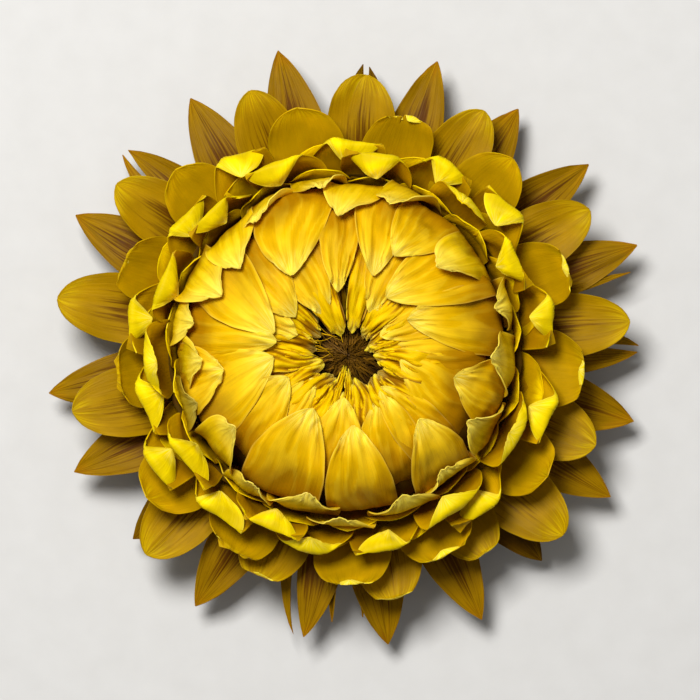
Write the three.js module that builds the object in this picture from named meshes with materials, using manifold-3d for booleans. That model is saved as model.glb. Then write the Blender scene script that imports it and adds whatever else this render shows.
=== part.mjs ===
// A dried strawflower head, cut off flush under its base and lying face up.
// Millimetres, +Z up. The origin is the middle of the cut face, which lies on the surface below.
// Each row of papery bracts is a loop of closed blades whose roots sink into a turned core, and the
// blades and core of one colour are joined into one solid.

import * as THREE from "three";
import { mergeVertices } from "three/addons/utils/BufferGeometryUtils.js";
import Module from "manifold-3d";

const wasm = await Module();
wasm.setup();

// Driving dimensions, in millimetres and degrees. A section point is [distance from the axis, height].
const BLADE = 0.6;
const POINTS_ACROSS = 3;
const LEAN = 0.05;
const TILT = 4;
const WIDTH_SPREAD = 0.06;
const ROUND_STEPS = 20;
const JOIN_TOLERANCE = 0.05;
const DEG = Math.PI / 180;

// The cut stem, ribbed lengthways, and the woody disc that every bract and floret grows from.
const STEM_RADIUS = 2.1;
const STEM_RIBS = 9;
const STEM_RIB_DEPTH = 0.14;
const STEM_FLARE = 1.5;
const STEM_SECTION = [
  [0, 0], [STEM_RADIUS, 0], [2.2, 1.1], [3.0, 2.2], [6.5, 3.4], [8.2, 4.4], [8.6, 5.6], [8.0, 6.5],
  [4.0, 7.1], [0, 7.2],
];

// The dish under the head, flat below where the head rests, that the lowest bracts grow from.
const DISH_SECTION = [
  [2.6, 0], [6.8, 0], [8.5, 1.0], [11.0, 2.3], [14.0, 3.8], [14.5, 4.5], [13.5, 5.1], [11.0, 5.5], [9.1, 5.4],
  [8.7, 4.05], [6.7, 2.95], [3.3, 1.8], [2.6, 0.95],
];

// The bowl of fused bract bases between the dish and the closed dome.
const BOWL_SECTION = [
  [9.6, 5.9], [13.5, 5.75], [15.2, 6.3], [17.0, 8.0], [18.6, 10.6], [19.6, 13.1], [19.0, 13.1],
  [18.0, 10.7], [15.6, 8.4], [12.6, 7.0], [9.6, 6.5],
];

// The wall of the closed dome. Its upper part is an ellipse round a ring, with a mouth in the middle.
const DOME_RING = 9.2;
const DOME_LEVEL = 12.8;
const DOME_REACH = 8.45;
const DOME_RISE = 8.6;
const DOME_STEPS = [0, 24, 48, 72, 97, 122];
const DOME_FOOT = [
  [9.6, 7.6], [9.6, 7.0], [12.4, 7.5], [15.2, 8.8], [16.9, 10.8],
];
const DOME_INSIDE = [
  [4.4, 19.0], [5.6, 17.7], [9.5, 17.0], [13.2, 14.6], [13.9, 12.2], [11.6, 8.5],
];

// The mass of tubular florets that fills the dome and shows in its mouth.
const FLORET_BED = [
  [0, 7.8], [8.2, 7.15], [9.2, 7.9], [11.2, 9.0], [13.3, 12.2], [12.6, 14.3], [9.2, 16.3], [4.9, 16.9],
  [3.0, 15.8], [0, 15.3],
];
const FLORET_COUNT = 30;
const FLORET_SPACING = 0.66;
const FLORET_FOOT = { radius: 0.2, level: 14.9, rise: 0.06 };
const FLORET_TOP = { radius: 0.36, height: 2.6, spread: 0.5, tilt: 8 };
const FLORET_SIDES = 5;
const GOLDEN_ANGLE = 137.508;

// The outline of a bract is widest at `widest` along it and `claw` of that width at its root, and
// narrows to the tip by (1 - t^power)^fullness, so 2 and 1 give a point and 2.4 and 0.5 a round end.
const POINTED = { claw: 0.62, widest: 0.45, power: 2, fullness: 0.95, end: 0.1 };
const ROUNDED = { claw: 0.5, widest: 0.58, power: 2.6, fullness: 0.6, end: 0.3 };
const FOLDED = { claw: 0.55, widest: 0.5, power: 1.9, fullness: 0.8, end: 0.16 };
const NARROW = { claw: 0.8, widest: 0.35, power: 2, fullness: 0.8, end: 0.25 };

// Where along a bract its cross-sections lie, closer together towards a tip that curls.
const CURLED_CUTS = [0, 0.36, 0.7, 0.86, 1];
const ROUND_CUTS = [0, 0.3, 0.64, 0.87, 1];
const LONG_CUTS = [0, 0.35, 0.72, 1];
const SHORT_CUTS = [0, 0.55, 1];

// Rows of bracts on the spreading part of the head. `flat` and `rolled` are the two lines, root to
// tip, that the midrib follows in section, and each bract lies between them by its own roll.
// Each bract is [azimuth in degrees, reach beyond the line in mm, roll from 0 to 1]. `cup` is how far
// the edges rise above the midrib, and `lap` is what every other bract has more and the rest less.
const SCALES_LOW = {
  cuts: SHORT_CUTS, outline: ROUNDED, halfWidth: 3.0, cup: 0.1, lap: 0.3,
  flat: [[6.2, 0.7], [8.6, 0.75], [11.0, 1.5], [13.2, 2.2]],
  rolled: [[6.2, 0.7], [8.6, 0.7], [11.0, 1.2], [13.2, 1.6]],
  bracts: evenRow(10, 0, 0.4),
};
const SCALES_HIGH = {
  cuts: SHORT_CUTS, outline: ROUNDED, halfWidth: 3.9, cup: 0.1, lap: 0.3,
  flat: [[9.4, 2.3], [12.2, 2.35], [15.0, 3.0], [18.0, 3.3]],
  rolled: [[9.4, 2.3], [12.2, 2.3], [15.0, 2.7], [18.0, 2.6]],
  bracts: evenRow(10, 18, 0.7),
};
const OUTER_ROW = {
  cuts: LONG_CUTS, outline: POINTED, halfWidth: 3.4, cup: 0.35, lap: 0.35,
  flat: [[11.2, 4.1], [15.0, 5.0], [20.0, 5.9], [25.5, 6.5], [30.0, 6.3], [33.2, 5.8]],
  rolled: [[11.2, 4.1], [15.0, 4.95], [20.0, 5.5], [25.5, 5.4], [30.0, 4.5], [33.0, 3.4]],
  bracts: [
    [0, -0.7, 0.5], [19.5, 1.0, 0.2], [37, 0.6, 0.4], [54, -0.4, 0.8], [72, 0.1, 0.3], [85.5, -1.7, 0.9],
    [102.5, 0.4, 0.2], [121.5, -0.8, 0.4], [138, -0.7, 0.7], [153.5, -0.1, 0.5], [168, -2.6, 1.0],
    [188.5, -0.3, 0.6], [204.5, -0.6, 0.2], [222, -1.8, 0.9], [240, -0.4, 0.6], [261, -1.2, 0.3],
    [278.5, -0.2, 0.7], [297, 0.3, 0.5], [313, -1.2, 1.0], [331, 0.4, 0.4], [346, -0.2, 0.6],
  ],
};
const RAY_ROW_LOW = {
  cuts: ROUND_CUTS, outline: ROUNDED, halfWidth: 3.8, cup: 0.6, lap: 0.2,
  flat: [[13.6, 6.4], [17.5, 7.3], [21.5, 8.0], [25.5, 8.6], [28.8, 8.9], [30.8, 8.9]],
  rolled: [[13.6, 6.4], [17.5, 7.3], [21.5, 8.2], [25.5, 9.2], [28.5, 10.2], [30.3, 11.0]],
  bracts: [
    [5.5, 0.7, 0], [29.5, 0.2, 0.1], [59.5, -0.4, 0.2], [86, -0.6, 0.1], [110, -0.5, 0.3], [144, 0.1, 0.2],
    [170, 1.1, 0], [193, -0.1, 0.3], [226, 0.5, 0], [249.5, -3.0, 0.8], [281.5, -1.9, 0.5],
    [305, -2.6, 0.6], [320, 0.8, 0.1], [339, -1.1, 0.3],
  ],
};
const RAY_ROW_HIGH = {
  cuts: ROUND_CUTS, outline: ROUNDED, halfWidth: 4.1, cup: 0.6, lap: 0.15,
  flat: [[15.7, 7.4], [19.0, 8.8], [22.3, 10.2], [25.0, 11.3], [26.7, 11.9], [27.8, 12.3]],
  rolled: [[15.7, 7.4], [19.0, 8.8], [22.3, 10.5], [24.8, 12.1], [26.1, 13.4], [26.3, 14.8]],
  bracts: [
    [20.5, -0.3, 0.8], [48.5, 0.4, 0.2], [75, 0, 0.6], [101, -0.4, 0.3], [133.5, -0.5, 0.3], [158, -0.6, 0.7],
    [186.5, -1.6, 0.9], [217, -0.1, 0.5], [241, -1.4, 0.7], [271.5, -0.7, 0.7], [296, -1.4, 0.9],
    [328, -0.5, 0.6], [355, -0.2, 0.5],
  ],
};
const COLLAR_ROW_LOW = {
  cuts: CURLED_CUTS, outline: FOLDED, halfWidth: 4.1, cup: 0.4, lap: 0.35,
  flat: [[17.4, 9.5], [19.7, 11.4], [21.8, 13.2], [23.4, 14.6], [24.6, 15.5], [25.6, 16.1]],
  rolled: [[17.4, 9.5], [19.8, 11.5], [21.9, 13.6], [23.3, 15.5], [23.0, 16.7], [21.2, 16.9]],
  bracts: [
    [10, 0, 1], [39, 1.4, 0.9], [61, 0.2, 1], [90, -0.5, 1], [121, 1.6, 0.8], [143, -0.6, 1],
    [171, 0.9, 0.9], [193, -0.9, 1], [210, 1.8, 0.95], [229, -0.5, 1], [260, -1.9, 0.1], [284, -1.3, 1],
    [313, 0.6, 0.9], [343, 0.9, 0.9],
  ],
};
const COLLAR_ROW_HIGH = {
  cuts: CURLED_CUTS, outline: FOLDED, halfWidth: 4.0, cup: 0.4, lap: 0.2,
  flat: [[18.65, 12.3], [20.0, 14.2], [21.0, 15.9], [21.6, 17.2], [22.0, 18.2], [22.3, 19.0]],
  rolled: [[18.65, 12.3], [20.1, 14.3], [21.3, 16.3], [21.8, 18.2], [20.9, 19.5], [19.1, 19.9]],
  bracts: [
    [28.5, 0.2, 1], [51, -0.5, 0.1], [77, 0.4, 1], [107, 0.4, 1], [133, -0.6, 1], [160, -0.1, 1],
    [184, 0.6, 0.3], [213, -0.1, 1], [249, 0, 0.9], [304, 0.1, 0.3], [333, 0, 0.2],
  ],
};

// Rows of bracts that close over the dome. `from` and `to` are angles round the dome's ring, 0 at
// its widest and 90 at its crest, and `lift` is how far off the wall the midrib lies at four places
// evenly along it. Each bract is [azimuth in degrees, extra angle at the tip, extra lift in mm].
const SHOULDER_ROW_LOW = {
  cuts: LONG_CUTS, outline: FOLDED, halfWidth: 3.8, cup: 0.1, lap: 0.3,
  from: -8, to: 40, lift: [-0.8, 0.35, 1.5, 2.5],
  bracts: [
    [13, -6, 0.3], [68, 0, 0.1], [98, -4, 0], [148, 2, 0], [170, -2, 0], [200, -8, 0],
    [235, -8, 0], [268, -10, 0], [293, -8, 0], [329, 4, 0.1], [354, 0, 0],
  ],
};
const SHOULDER_ROW_HIGH = {
  cuts: LONG_CUTS, outline: FOLDED, halfWidth: 3.7, cup: 0.1, lap: 0.3,
  from: 3, to: 56, lift: [-0.8, 0.7, 1.7, 2.4],
  bracts: [
    [38.5, 8, 0.1], [85, 2, 0], [113, -6, 0.1], [134, 4, 0], [157, 2, 0], [184.5, -2, 0],
    [217, 0, 0], [254, -6, 0.1], [310, 0, 0],
  ],
};
const DOME_ROW_LOW = {
  cuts: LONG_CUTS, outline: POINTED, halfWidth: 4.25, cup: 0, lap: 0.36,
  from: 12, to: 82, lift: [-0.8, 0.65, 1.35, 1.9],
  bracts: [
    [8, -4, 0], [31, -2, 0], [60, -4, 0], [87, -8, 0], [115, 0, 0], [142, 10, 0], [165, 8, 0],
    [190, -6, 0], [215, 2, 0], [242, 12, 0], [272, -2, 0], [299, -2, 0], [322, -2, 0], [346, -8, 0],
  ],
};
const DOME_ROW_HIGH = {
  cuts: LONG_CUTS, outline: POINTED, halfWidth: 3.5, cup: 0, lap: 0.3,
  from: 42, to: 102, lift: [-0.8, 0.65, 1.0, 1.2],
  bracts: [
    [0, 0, 0], [30, 2, 0], [60, -2, 0], [90, -4, 0], [121, 2, 0], [150, 0, 0], [178, 0, 0],
    [204, 2, 0], [230, 0, 0], [259, 4, 0], [295, 2, 0], [329, 4, 0],
  ],
};
const MOUTH_ROW = {
  cuts: SHORT_CUTS, outline: NARROW, halfWidth: 1.55, cup: 0.15, lap: 0.34,
  from: 80, to: 129, lift: [-0.8, 0.6, 0.6, 0.5],
  bracts: evenRow(16, 8, 5, 0.1),
};

// The mouth is a little off the axis, so the tips round it reach less far on one side.
const MOUTH_SHIFT = { x: 0.45, y: -0.65, within: 12 };

// The same small pseudo-random number, from -1 to 1, for a bract's place in its row and a purpose.
function wobble(index, purpose) {
  const raw = Math.sin(index * 12.9898 + purpose * 78.233) * 43758.5453;
  return 2 * (raw - Math.floor(raw)) - 1;
}

// An even row round the axis, with seeded differences in azimuth and in its second and third values.
function evenRow(count, phase, second, third = 0.5) {
  return Array.from({ length: count }, (_, i) => [
    phase + (360 / count) * (i + 0.12 * wobble(i, 9)),
    second * wobble(i, 1),
    third * (0.5 + 0.5 * wobble(i, 2)),
  ]);
}

// A geometry as a solid, turned right side out if its faces point in.
function solidOf(geometry) {
  const bare = new THREE.BufferGeometry().setAttribute("position", geometry.getAttribute("position"));
  bare.setIndex(geometry.getIndex());
  const merged = mergeVertices(bare, 1e-4);
  const vertProperties = merged.attributes.position.array;
  const triVerts = new Uint32Array(merged.index.array);
  const made = new wasm.Manifold(new wasm.Mesh({ numProp: 3, vertProperties, triVerts }));
  if (made.volume() > 0) return made;
  const turnedRound = new wasm.Mesh({ numProp: 3, vertProperties, triVerts: triVerts.reverse() });
  return new wasm.Manifold(turnedRound);
}

function turned(section, closed = true) {
  const points = section.map(([r, z]) => new THREE.Vector2(r, z));
  if (closed) points.push(points[0].clone());
  return new THREE.LatheGeometry(points, ROUND_STEPS).rotateX(Math.PI / 2);
}

function smooth(t) {
  const c = Math.min(1, Math.max(0, t));
  return c * c * (3 - 2 * c);
}

function widthAt(u, { claw, widest, power, fullness, end }) {
  if (u < widest) return claw + (1 - claw) * smooth(u / widest);
  const t = (u - widest) / (1 - widest);
  return Math.max(end, Math.pow(1 - Math.pow(t, power), fullness));
}

// The midrib of a bract on the spreading part: a curve in section between the row's two lines.
function spreadingMidrib(row, reach, roll) {
  const last = row.flat.length - 1;
  const points = row.flat.map(([r, z], i) => {
    const [rolledR, rolledZ] = row.rolled[i];
    const share = i / last;
    return new THREE.Vector2(r + (rolledR - r) * roll + reach * share, z + (rolledZ - z) * roll);
  });
  return new THREE.SplineCurve(points);
}

// The midrib of a bract on the dome: it follows the ellipse of the wall, and lifts off it.
function domeMidrib(row, extraAngle, extraLift) {
  const steps = 6;
  const points = Array.from({ length: steps + 1 }, (_, step) => {
    const u = step / steps;
    const angle = (row.from + (row.to + extraAngle - row.from) * u) * DEG;
    const place = Math.min(2, Math.floor(3 * u));
    const rise = row.lift[place] + (row.lift[place + 1] - row.lift[place]) * (3 * u - place);
    const off = rise + extraLift * smooth(3 * u);
    return new THREE.Vector2(
      DOME_RING + (DOME_REACH + off) * Math.cos(angle),
      DOME_LEVEL + (DOME_RISE + off) * Math.sin(angle),
    );
  });
  return new THREE.SplineCurve(points);
}

// The corners of a blade along a midrib: at every cut, three points across its upper face and three
// across its lower one. A bract leans and tilts a little, and close to its root it hugs its core.
function bladePoints(row, index, azimuth, midrib) {
  const lean = LEAN * wobble(index, 3);
  const tilt = TILT * DEG * wobble(index, 4);
  const cup = row.cup + (index % 2 ? -row.lap : row.lap);
  const halfWidth = row.halfWidth * (1 + WIDTH_SPREAD * wobble(index, 5));
  return row.cuts.flatMap((u) => {
    const point = midrib.getPointAt(u);
    const along = midrib.getTangentAt(u);
    const turn = azimuth * DEG + lean * (u - 1);
    const outward = new THREE.Vector3(Math.cos(turn), Math.sin(turn), 0);
    const sideways = new THREE.Vector3(-Math.sin(turn), Math.cos(turn), 0);
    const normal = outward.clone().multiplyScalar(-along.y).setZ(along.x);
    const roll = tilt * smooth(u);
    const side = sideways.clone().multiplyScalar(Math.cos(roll)).addScaledVector(normal, Math.sin(roll));
    const face = normal.clone().multiplyScalar(Math.cos(roll)).addScaledVector(sideways, -Math.sin(roll));
    const middle = outward.multiplyScalar(point.x).setZ(point.y);
    const width = halfWidth * widthAt(u, row.outline);
    const raised = cup * widthAt(u, row.outline) * smooth(2.5 * u);
    const hugged = ((width * width * along.y) / (2 * point.x)) * (row.flat ? 1 - smooth(u) : 1);
    return [BLADE / 2, -BLADE / 2].flatMap((skin) =>
      Array.from({ length: POINTS_ACROSS }, (_, i) => {
        const v = (2 * i) / (POINTS_ACROSS - 1) - 1;
        const lift = v * v * (raised + hugged) + skin;
        return shifted(middle.clone().addScaledVector(side, v * width).addScaledVector(face, lift));
      }));
  });
}

// The triangles of a blade. Both faces are split alike, so a waved blade never crosses itself.
function bladeTriangles(cuts) {
  const ring = 2 * POINTS_ACROSS;
  const round = [0, 1, 2, 5, 4, 3];
  const triangles = [];
  for (let k = 0; k < cuts - 1; k++)
    round.forEach((from, i) => {
      const to = round[(i + 1) % ring];
      const [a, b, c, d] = [k * ring + from, k * ring + to, (k + 1) * ring + from, (k + 1) * ring + to];
      const onUpperFace = i < POINTS_ACROSS - 1 || i === ring - 1;
      triangles.push(...(onUpperFace ? [a, b, c, b, d, c] : [a, b, d, a, d, c]));
    });
  for (const [first, isTip] of [[0, false], [(cuts - 1) * ring, true]])
    for (let i = first; i < first + POINTS_ACROSS - 1; i++) {
      const [a, b, c, d] = [i, i + 1, i + POINTS_ACROSS, i + POINTS_ACROSS + 1];
      triangles.push(...(isTip ? [a, b, c, b, d, c] : [a, c, b, b, c, d]));
    }
  return triangles;
}

function blade(row, index, azimuth, midrib) {
  const geometry = new THREE.BufferGeometry().setFromPoints(bladePoints(row, index, azimuth, midrib));
  geometry.setIndex(bladeTriangles(row.cuts.length));
  return solidOf(geometry);
}

// Moves a point on the crest of the dome with the mouth, and leaves the widest part where it is.
function shifted(p) {
  const near = 1 - smooth(Math.hypot(p.x, p.y) / MOUTH_SHIFT.within);
  return p.set(p.x + MOUTH_SHIFT.x * near, p.y + MOUTH_SHIFT.y * near, p.z);
}

function rowOf(row) {
  return row.bracts.map(([azimuth, second, third], i) => {
    const midrib = row.flat ? spreadingMidrib(row, second, third) : domeMidrib(row, second, third);
    return blade(row, i, azimuth, midrib);
  });
}

// Joins solids, then keeps the one body that holds together and fills any sealed hollow in it.
function joined(solids) {
  const parts = wasm.Manifold.union(solids).simplify(JOIN_TOLERANCE).decompose();
  return parts.reduce((most, part) => (part.volume() > most.volume() ? part : most));
}

function mesh(name, solid, colour, roughness) {
  const { numProp, vertProperties, triVerts } = solid.getMesh();
  const positions = new Float32Array((vertProperties.length / numProp) * 3);
  for (let i = 0; i < positions.length / 3; i++)
    positions.set(vertProperties.subarray(i * numProp, i * numProp + 3), i * 3);
  const geometry = new THREE.BufferGeometry();
  geometry.setAttribute("position", new THREE.BufferAttribute(positions, 3));
  geometry.setIndex(new THREE.BufferAttribute(triVerts, 1));
  geometry.computeVertexNormals();
  const material = new THREE.MeshStandardMaterial({ color: colour, roughness, metalness: 0 });
  const made = new THREE.Mesh(geometry, material);
  made.name = name;
  return made;
}

function cutStem() {
  const geometry = turned(STEM_SECTION, false);
  const position = geometry.getAttribute("position");
  for (let i = 0; i < position.count; i++) {
    const [x, y, z] = [position.getX(i), position.getY(i), position.getZ(i)];
    const nearStem = 1 - smooth((Math.hypot(x, y) - STEM_RADIUS) / STEM_FLARE);
    const groove = STEM_RIB_DEPTH * (0.5 + 0.5 * Math.cos(STEM_RIBS * Math.atan2(y, x)));
    const scale = 1 - (nearStem * groove) / STEM_RADIUS;
    position.setXYZ(i, x * scale, y * scale, z);
  }
  return solidOf(geometry);
}

function domeWall() {
  const crest = DOME_STEPS.map((angle) => [
    DOME_RING + DOME_REACH * Math.cos(angle * DEG), DOME_LEVEL + DOME_RISE * Math.sin(angle * DEG),
  ]);
  const geometry = turned([...DOME_FOOT, ...crest, ...DOME_INSIDE]);
  const position = geometry.getAttribute("position");
  const p = new THREE.Vector3();
  for (let i = 0; i < position.count; i++) {
    shifted(p.fromBufferAttribute(position, i));
    position.setXYZ(i, p.x, p.y, p.z);
  }
  return solidOf(geometry);
}

function floret(index) {
  const distance = FLORET_SPACING * Math.sqrt(index + 0.5);
  const turn = index * GOLDEN_ANGLE * DEG;
  const height = FLORET_TOP.height + FLORET_TOP.spread * wobble(index, 6);
  const geometry = new THREE.CylinderGeometry(FLORET_TOP.radius, FLORET_FOOT.radius, height, FLORET_SIDES, 1);
  geometry.rotateX(Math.PI / 2).translate(0, 0, height / 2);
  geometry.rotateX(FLORET_TOP.tilt * DEG * wobble(index, 7));
  geometry.rotateY(FLORET_TOP.tilt * DEG * wobble(index, 8));
  const x = MOUTH_SHIFT.x + distance * Math.cos(turn);
  const y = MOUTH_SHIFT.y + distance * Math.sin(turn);
  return solidOf(geometry.translate(x, y, FLORET_FOOT.level + FLORET_FOOT.rise * distance * distance));
}

function florets() {
  const loose = Array.from({ length: FLORET_COUNT }, (_, i) => floret(i));
  return joined([solidOf(turned(FLORET_BED, false)), ...loose]);
}

const outerBracts = joined([
  solidOf(turned(DISH_SECTION)), ...rowOf(SCALES_LOW), ...rowOf(SCALES_HIGH), ...rowOf(OUTER_ROW),
]);
const rayBracts = joined([
  solidOf(turned(BOWL_SECTION)), ...rowOf(RAY_ROW_LOW), ...rowOf(RAY_ROW_HIGH), ...rowOf(COLLAR_ROW_LOW),
  ...rowOf(COLLAR_ROW_HIGH),
]);
const domeBracts = joined([
  domeWall(), ...rowOf(SHOULDER_ROW_LOW), ...rowOf(SHOULDER_ROW_HIGH), ...rowOf(DOME_ROW_LOW),
  ...rowOf(DOME_ROW_HIGH), ...rowOf(MOUTH_ROW),
]);

const head = new THREE.Group();
head.add(
  mesh("cut_stem_and_receptacle", cutStem(), 0x8a7a3c, 0.8),
  mesh("outer_bracts", outerBracts, 0x8a6410, 0.5),
  mesh("ray_bracts", rayBracts, 0xc9a012, 0.4),
  mesh("dome_bracts", domeBracts, 0xf0b810, 0.38),
  mesh("disc_florets", florets(), 0x3b2308, 0.85),
);

export default head;
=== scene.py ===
"""The looks of a dried strawflower head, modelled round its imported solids.

Every papery bract is cut from a flat blank, split where the real one is, and bent on to its seat. The
seats of a row follow lines in section, root to tip. The outer and ray rows follow the solids' own
lines, and the collar and the dome follow lines close to them.
Section points and bract sizes are in millimetres, as in the solids. Blender's own lengths are metres.
"""

import math
from dataclasses import dataclass, field, replace

import bmesh
import bpy
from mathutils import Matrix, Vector, noise


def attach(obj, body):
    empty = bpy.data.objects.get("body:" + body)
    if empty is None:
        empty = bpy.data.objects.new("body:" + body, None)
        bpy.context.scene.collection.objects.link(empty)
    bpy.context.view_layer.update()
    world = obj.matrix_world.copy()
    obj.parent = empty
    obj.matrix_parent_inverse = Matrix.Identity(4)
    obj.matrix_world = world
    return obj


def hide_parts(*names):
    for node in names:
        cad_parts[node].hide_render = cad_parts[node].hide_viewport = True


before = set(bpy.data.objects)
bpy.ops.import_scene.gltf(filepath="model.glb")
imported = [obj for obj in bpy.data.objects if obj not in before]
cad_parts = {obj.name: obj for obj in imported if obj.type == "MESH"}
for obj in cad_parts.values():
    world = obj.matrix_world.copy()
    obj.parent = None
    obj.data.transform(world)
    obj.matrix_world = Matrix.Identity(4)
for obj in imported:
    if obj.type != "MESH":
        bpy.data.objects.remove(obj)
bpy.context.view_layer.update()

bl_info = {
    "name": "Dried strawflower head",
    "version": (1, 0, 0),
    "blender": (4, 5, 0),
    "location": "3D View > Sidebar > Strawflower",
    "description": "Models the bracts, florets, cut stem and stage of a dried strawflower head",
    "category": "Add Mesh",
}

MM = 0.001
BODY = "root"

# The photo is 700 pixels wide, and one of its pixels is 0.11 mm at the outer bracts.
PHOTO_WIDTH = 700
MM_PER_PIXEL = 0.11
HEAD_MIDDLE_PIXEL = (344, 349)
OUTER_BRACT_LEVEL = 6.0

# The closed dome: an ellipse round a ring, whose mouth lies a little off the axis.
DOME_RING = 9.2
DOME_LEVEL = 12.8
DOME_REACH = 8.45
DOME_RISE = 8.6
MOUTH_X = 0.45
MOUTH_Y = -0.65
MOUTH_WITHIN = 12.0

# How far a bract may lean along the surface, tilt about its midrib and differ in width.
LEAN = 0.05
TILT = math.radians(4)
WIDTH_SPREAD = 0.06

# How much faster than its length a bract's bow, relief and cup grow from nothing at its root.
BOW_GROWTH = 1.5
RELIEF_GROWTH = 2.2
CUP_GROWTH = 2.5

# How fast the noise in a bract's relief changes: across it and along it.
BROAD_PACE = (1.2, 2.4)
WANDER_PACE = (0.5, 3.2)
CREASE_PACE = (3.4, 0.8)
CRUMPLE_PACE = (2.1, 6.5)
RIDGE_PACE = 1.3

# How far the halves of a split bract rise at its tip, and how close two vertices are to be merged, in mm.
SPLIT_RISE = 0.25
MERGE_WITHIN = 0.002

# How close two places across a blank are to be in one column, in half widths.
SAME_PLACE = 0.001

# The power by which a blank's vertices crowd toward its tip, and the steps of a dome midrib before it is
# smoothed.
TIP_CROWDING = 1.3
DOME_STEPS = 6

# A direction that no floret or thread follows, which sets how each lies round its own line.
ASKEW = Vector((0.31, -0.2, 0.93))

# Noise over a bract for its finish, across it and along it, and how far apart two bracts' noise is.
FIBRE_SCALES = (26.0, 2.0)
FINE_SCALES = (100.0, 5.0)
PATCH_SCALES = (3.0, 3.5)
SEED_SPREAD = 37.0

# The share of light that comes through a papery bract.
LIGHT_THROUGH = 0.3

# Half widths of a bract, root to tip, as shares of its widest place. Each point is (place, share).
POINTED = [(0, 0.7), (0.25, 0.93), (0.5, 1), (0.7, 0.88), (0.85, 0.58), (0.94, 0.28), (1, 0.02)]
ROUNDED = [
    (0, 0.85), (0.3, 0.98), (0.5, 1), (0.72, 0.97), (0.86, 0.8), (0.94, 0.55), (0.98, 0.3),
    (1, 0.04),
]
CUSPED = [
    (0, 0.8), (0.3, 0.97), (0.5, 1), (0.66, 0.97), (0.76, 0.85), (0.83, 0.66), (0.89, 0.44), (0.94, 0.25),
    (0.975, 0.12), (1, 0.02),
]
BROAD = [(0, 0.8), (0.35, 1), (0.6, 0.97), (0.78, 0.76), (0.9, 0.44), (0.96, 0.24), (1, 0.03)]
NARROW = [(0, 0.85), (0.35, 1), (0.65, 0.9), (0.84, 0.68), (0.94, 0.4), (1, 0.06)]


def smooth(share):
    """0 at 0 and below, 1 at 1 and above, and eased between."""
    held = min(1.0, max(0.0, share))
    return held * held * (3 - 2 * held)


def wobble(index, purpose):
    """The same small pseudo-random number, from -1 to 1, for a place in a row and a purpose."""
    raw = math.sin(index * 12.9898 + purpose * 78.233) * 43758.5453
    return 2 * (raw - math.floor(raw)) - 1


def on_line(points, place):
    """The value at a place on the smooth line through (place, value) points, with no overshoot."""
    steps = [(b[1] - a[1]) / (b[0] - a[0]) for a, b in zip(points, points[1:])]
    inner = [0 if a * b <= 0 else 2 * a * b / (a + b) for a, b in zip(steps, steps[1:])]
    slopes = [steps[0], *inner, steps[-1]]
    last = len(steps) - 1
    i = next((k for k in range(last) if place < points[k + 1][0]), last)
    span = points[i + 1][0] - points[i][0]
    t = (place - points[i][0]) / span
    rise = points[i + 1][1] - points[i][1]
    start, end = slopes[i] * span, slopes[i + 1] * span
    bend, twist = 3 * rise - 2 * start - end, start + end - 2 * rise
    return points[i][1] + t * start + t * t * bend + t ** 3 * twist


@dataclass
class Bract:
    """One bract. On the spreading part `reach` is mm past the row's line and `roll` is from 0 to 1.
    On the dome `reach` is degrees past the row's last angle and `roll` is extra lift in mm.
    `width` is a share of the row's, and `tone` is 1 for most bracts and less for one darkened with painted
    shade where it lies low or deep. `curl` is how many degrees the tip folds over, on a fold line that
    `slant` skews. `sway` is how many mm the tip goes aside, and `split` is a tear: its place across the
    bract, its start along it, and its gap."""
    azimuth: float
    reach: float
    roll: float
    width: float = 1.0
    tone: float = 1.0
    curl: float = 0.0
    slant: float = 0.0
    sway: float = 0.0
    split: tuple = ()


@dataclass
class Relief:
    """How a bract's sheet departs from a smooth one, in mm: slow waves, lengthways ridges, creases
    that meet at the tip, a fluted margin, a tip that lies higher on some and lower on others,
    crumpling all over, and a belly in the part that folds over.
    `bow` is how far back, as a share of the length, the lines across it curve, and `wander` how far
    the ridges stray to the side, in half widths."""
    broad: float = 0.25
    ridges: float = 7.0
    ridge_depth: float = 0.05
    creases: float = 0.1
    keel: float = 0.0
    margin: float = 0.25
    flutes: float = 2.0
    tip: float = 0.2
    crumple: float = 0.0
    belly: float = 0.0
    bow: float = 0.05
    wander: float = 0.0


@dataclass
class Row:
    """A row of like bracts. `flat` and `rolled` are the lines of a spreading midrib in section. `start`
    and `end` are a dome midrib's angles in degrees, and `lift` is how far off the dome it lies at four
    places. `cup` is how high the margins rise, `lap` how much more or less they do so on every second
    bract, and `across` and `along` are the faces of the blank. A curled tip folds over `curl_over` of the
    length, round the place `curl_from`."""
    name: str
    outline: list
    half_width: float
    cup: float
    lap: float
    bracts: list
    relief: Relief
    across: int
    along: int
    flat: list = field(default_factory=list)
    rolled: list = field(default_factory=list)
    start: float = 0.0
    end: float = 0.0
    lift: tuple = ()
    curl_from: float = 0.86
    curl_over: float = 0.1


def table(columns, *rows):
    """Bracts from rows of values under named columns. A row may stop early, and its rest is plain."""
    return [Bract(**dict(zip(columns.split(), row))) for row in rows]


def even_row(count, phase, reach):
    """An even row round the axis, with small differences in azimuth, reach and roll."""
    return [
        Bract(
            phase + (360 / count) * (i + 0.12 * wobble(i, 9)),
            reach * wobble(i, 1),
            0.5 * (0.5 + 0.5 * wobble(i, 2)),
        )
        for i in range(count)
    ]


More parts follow.
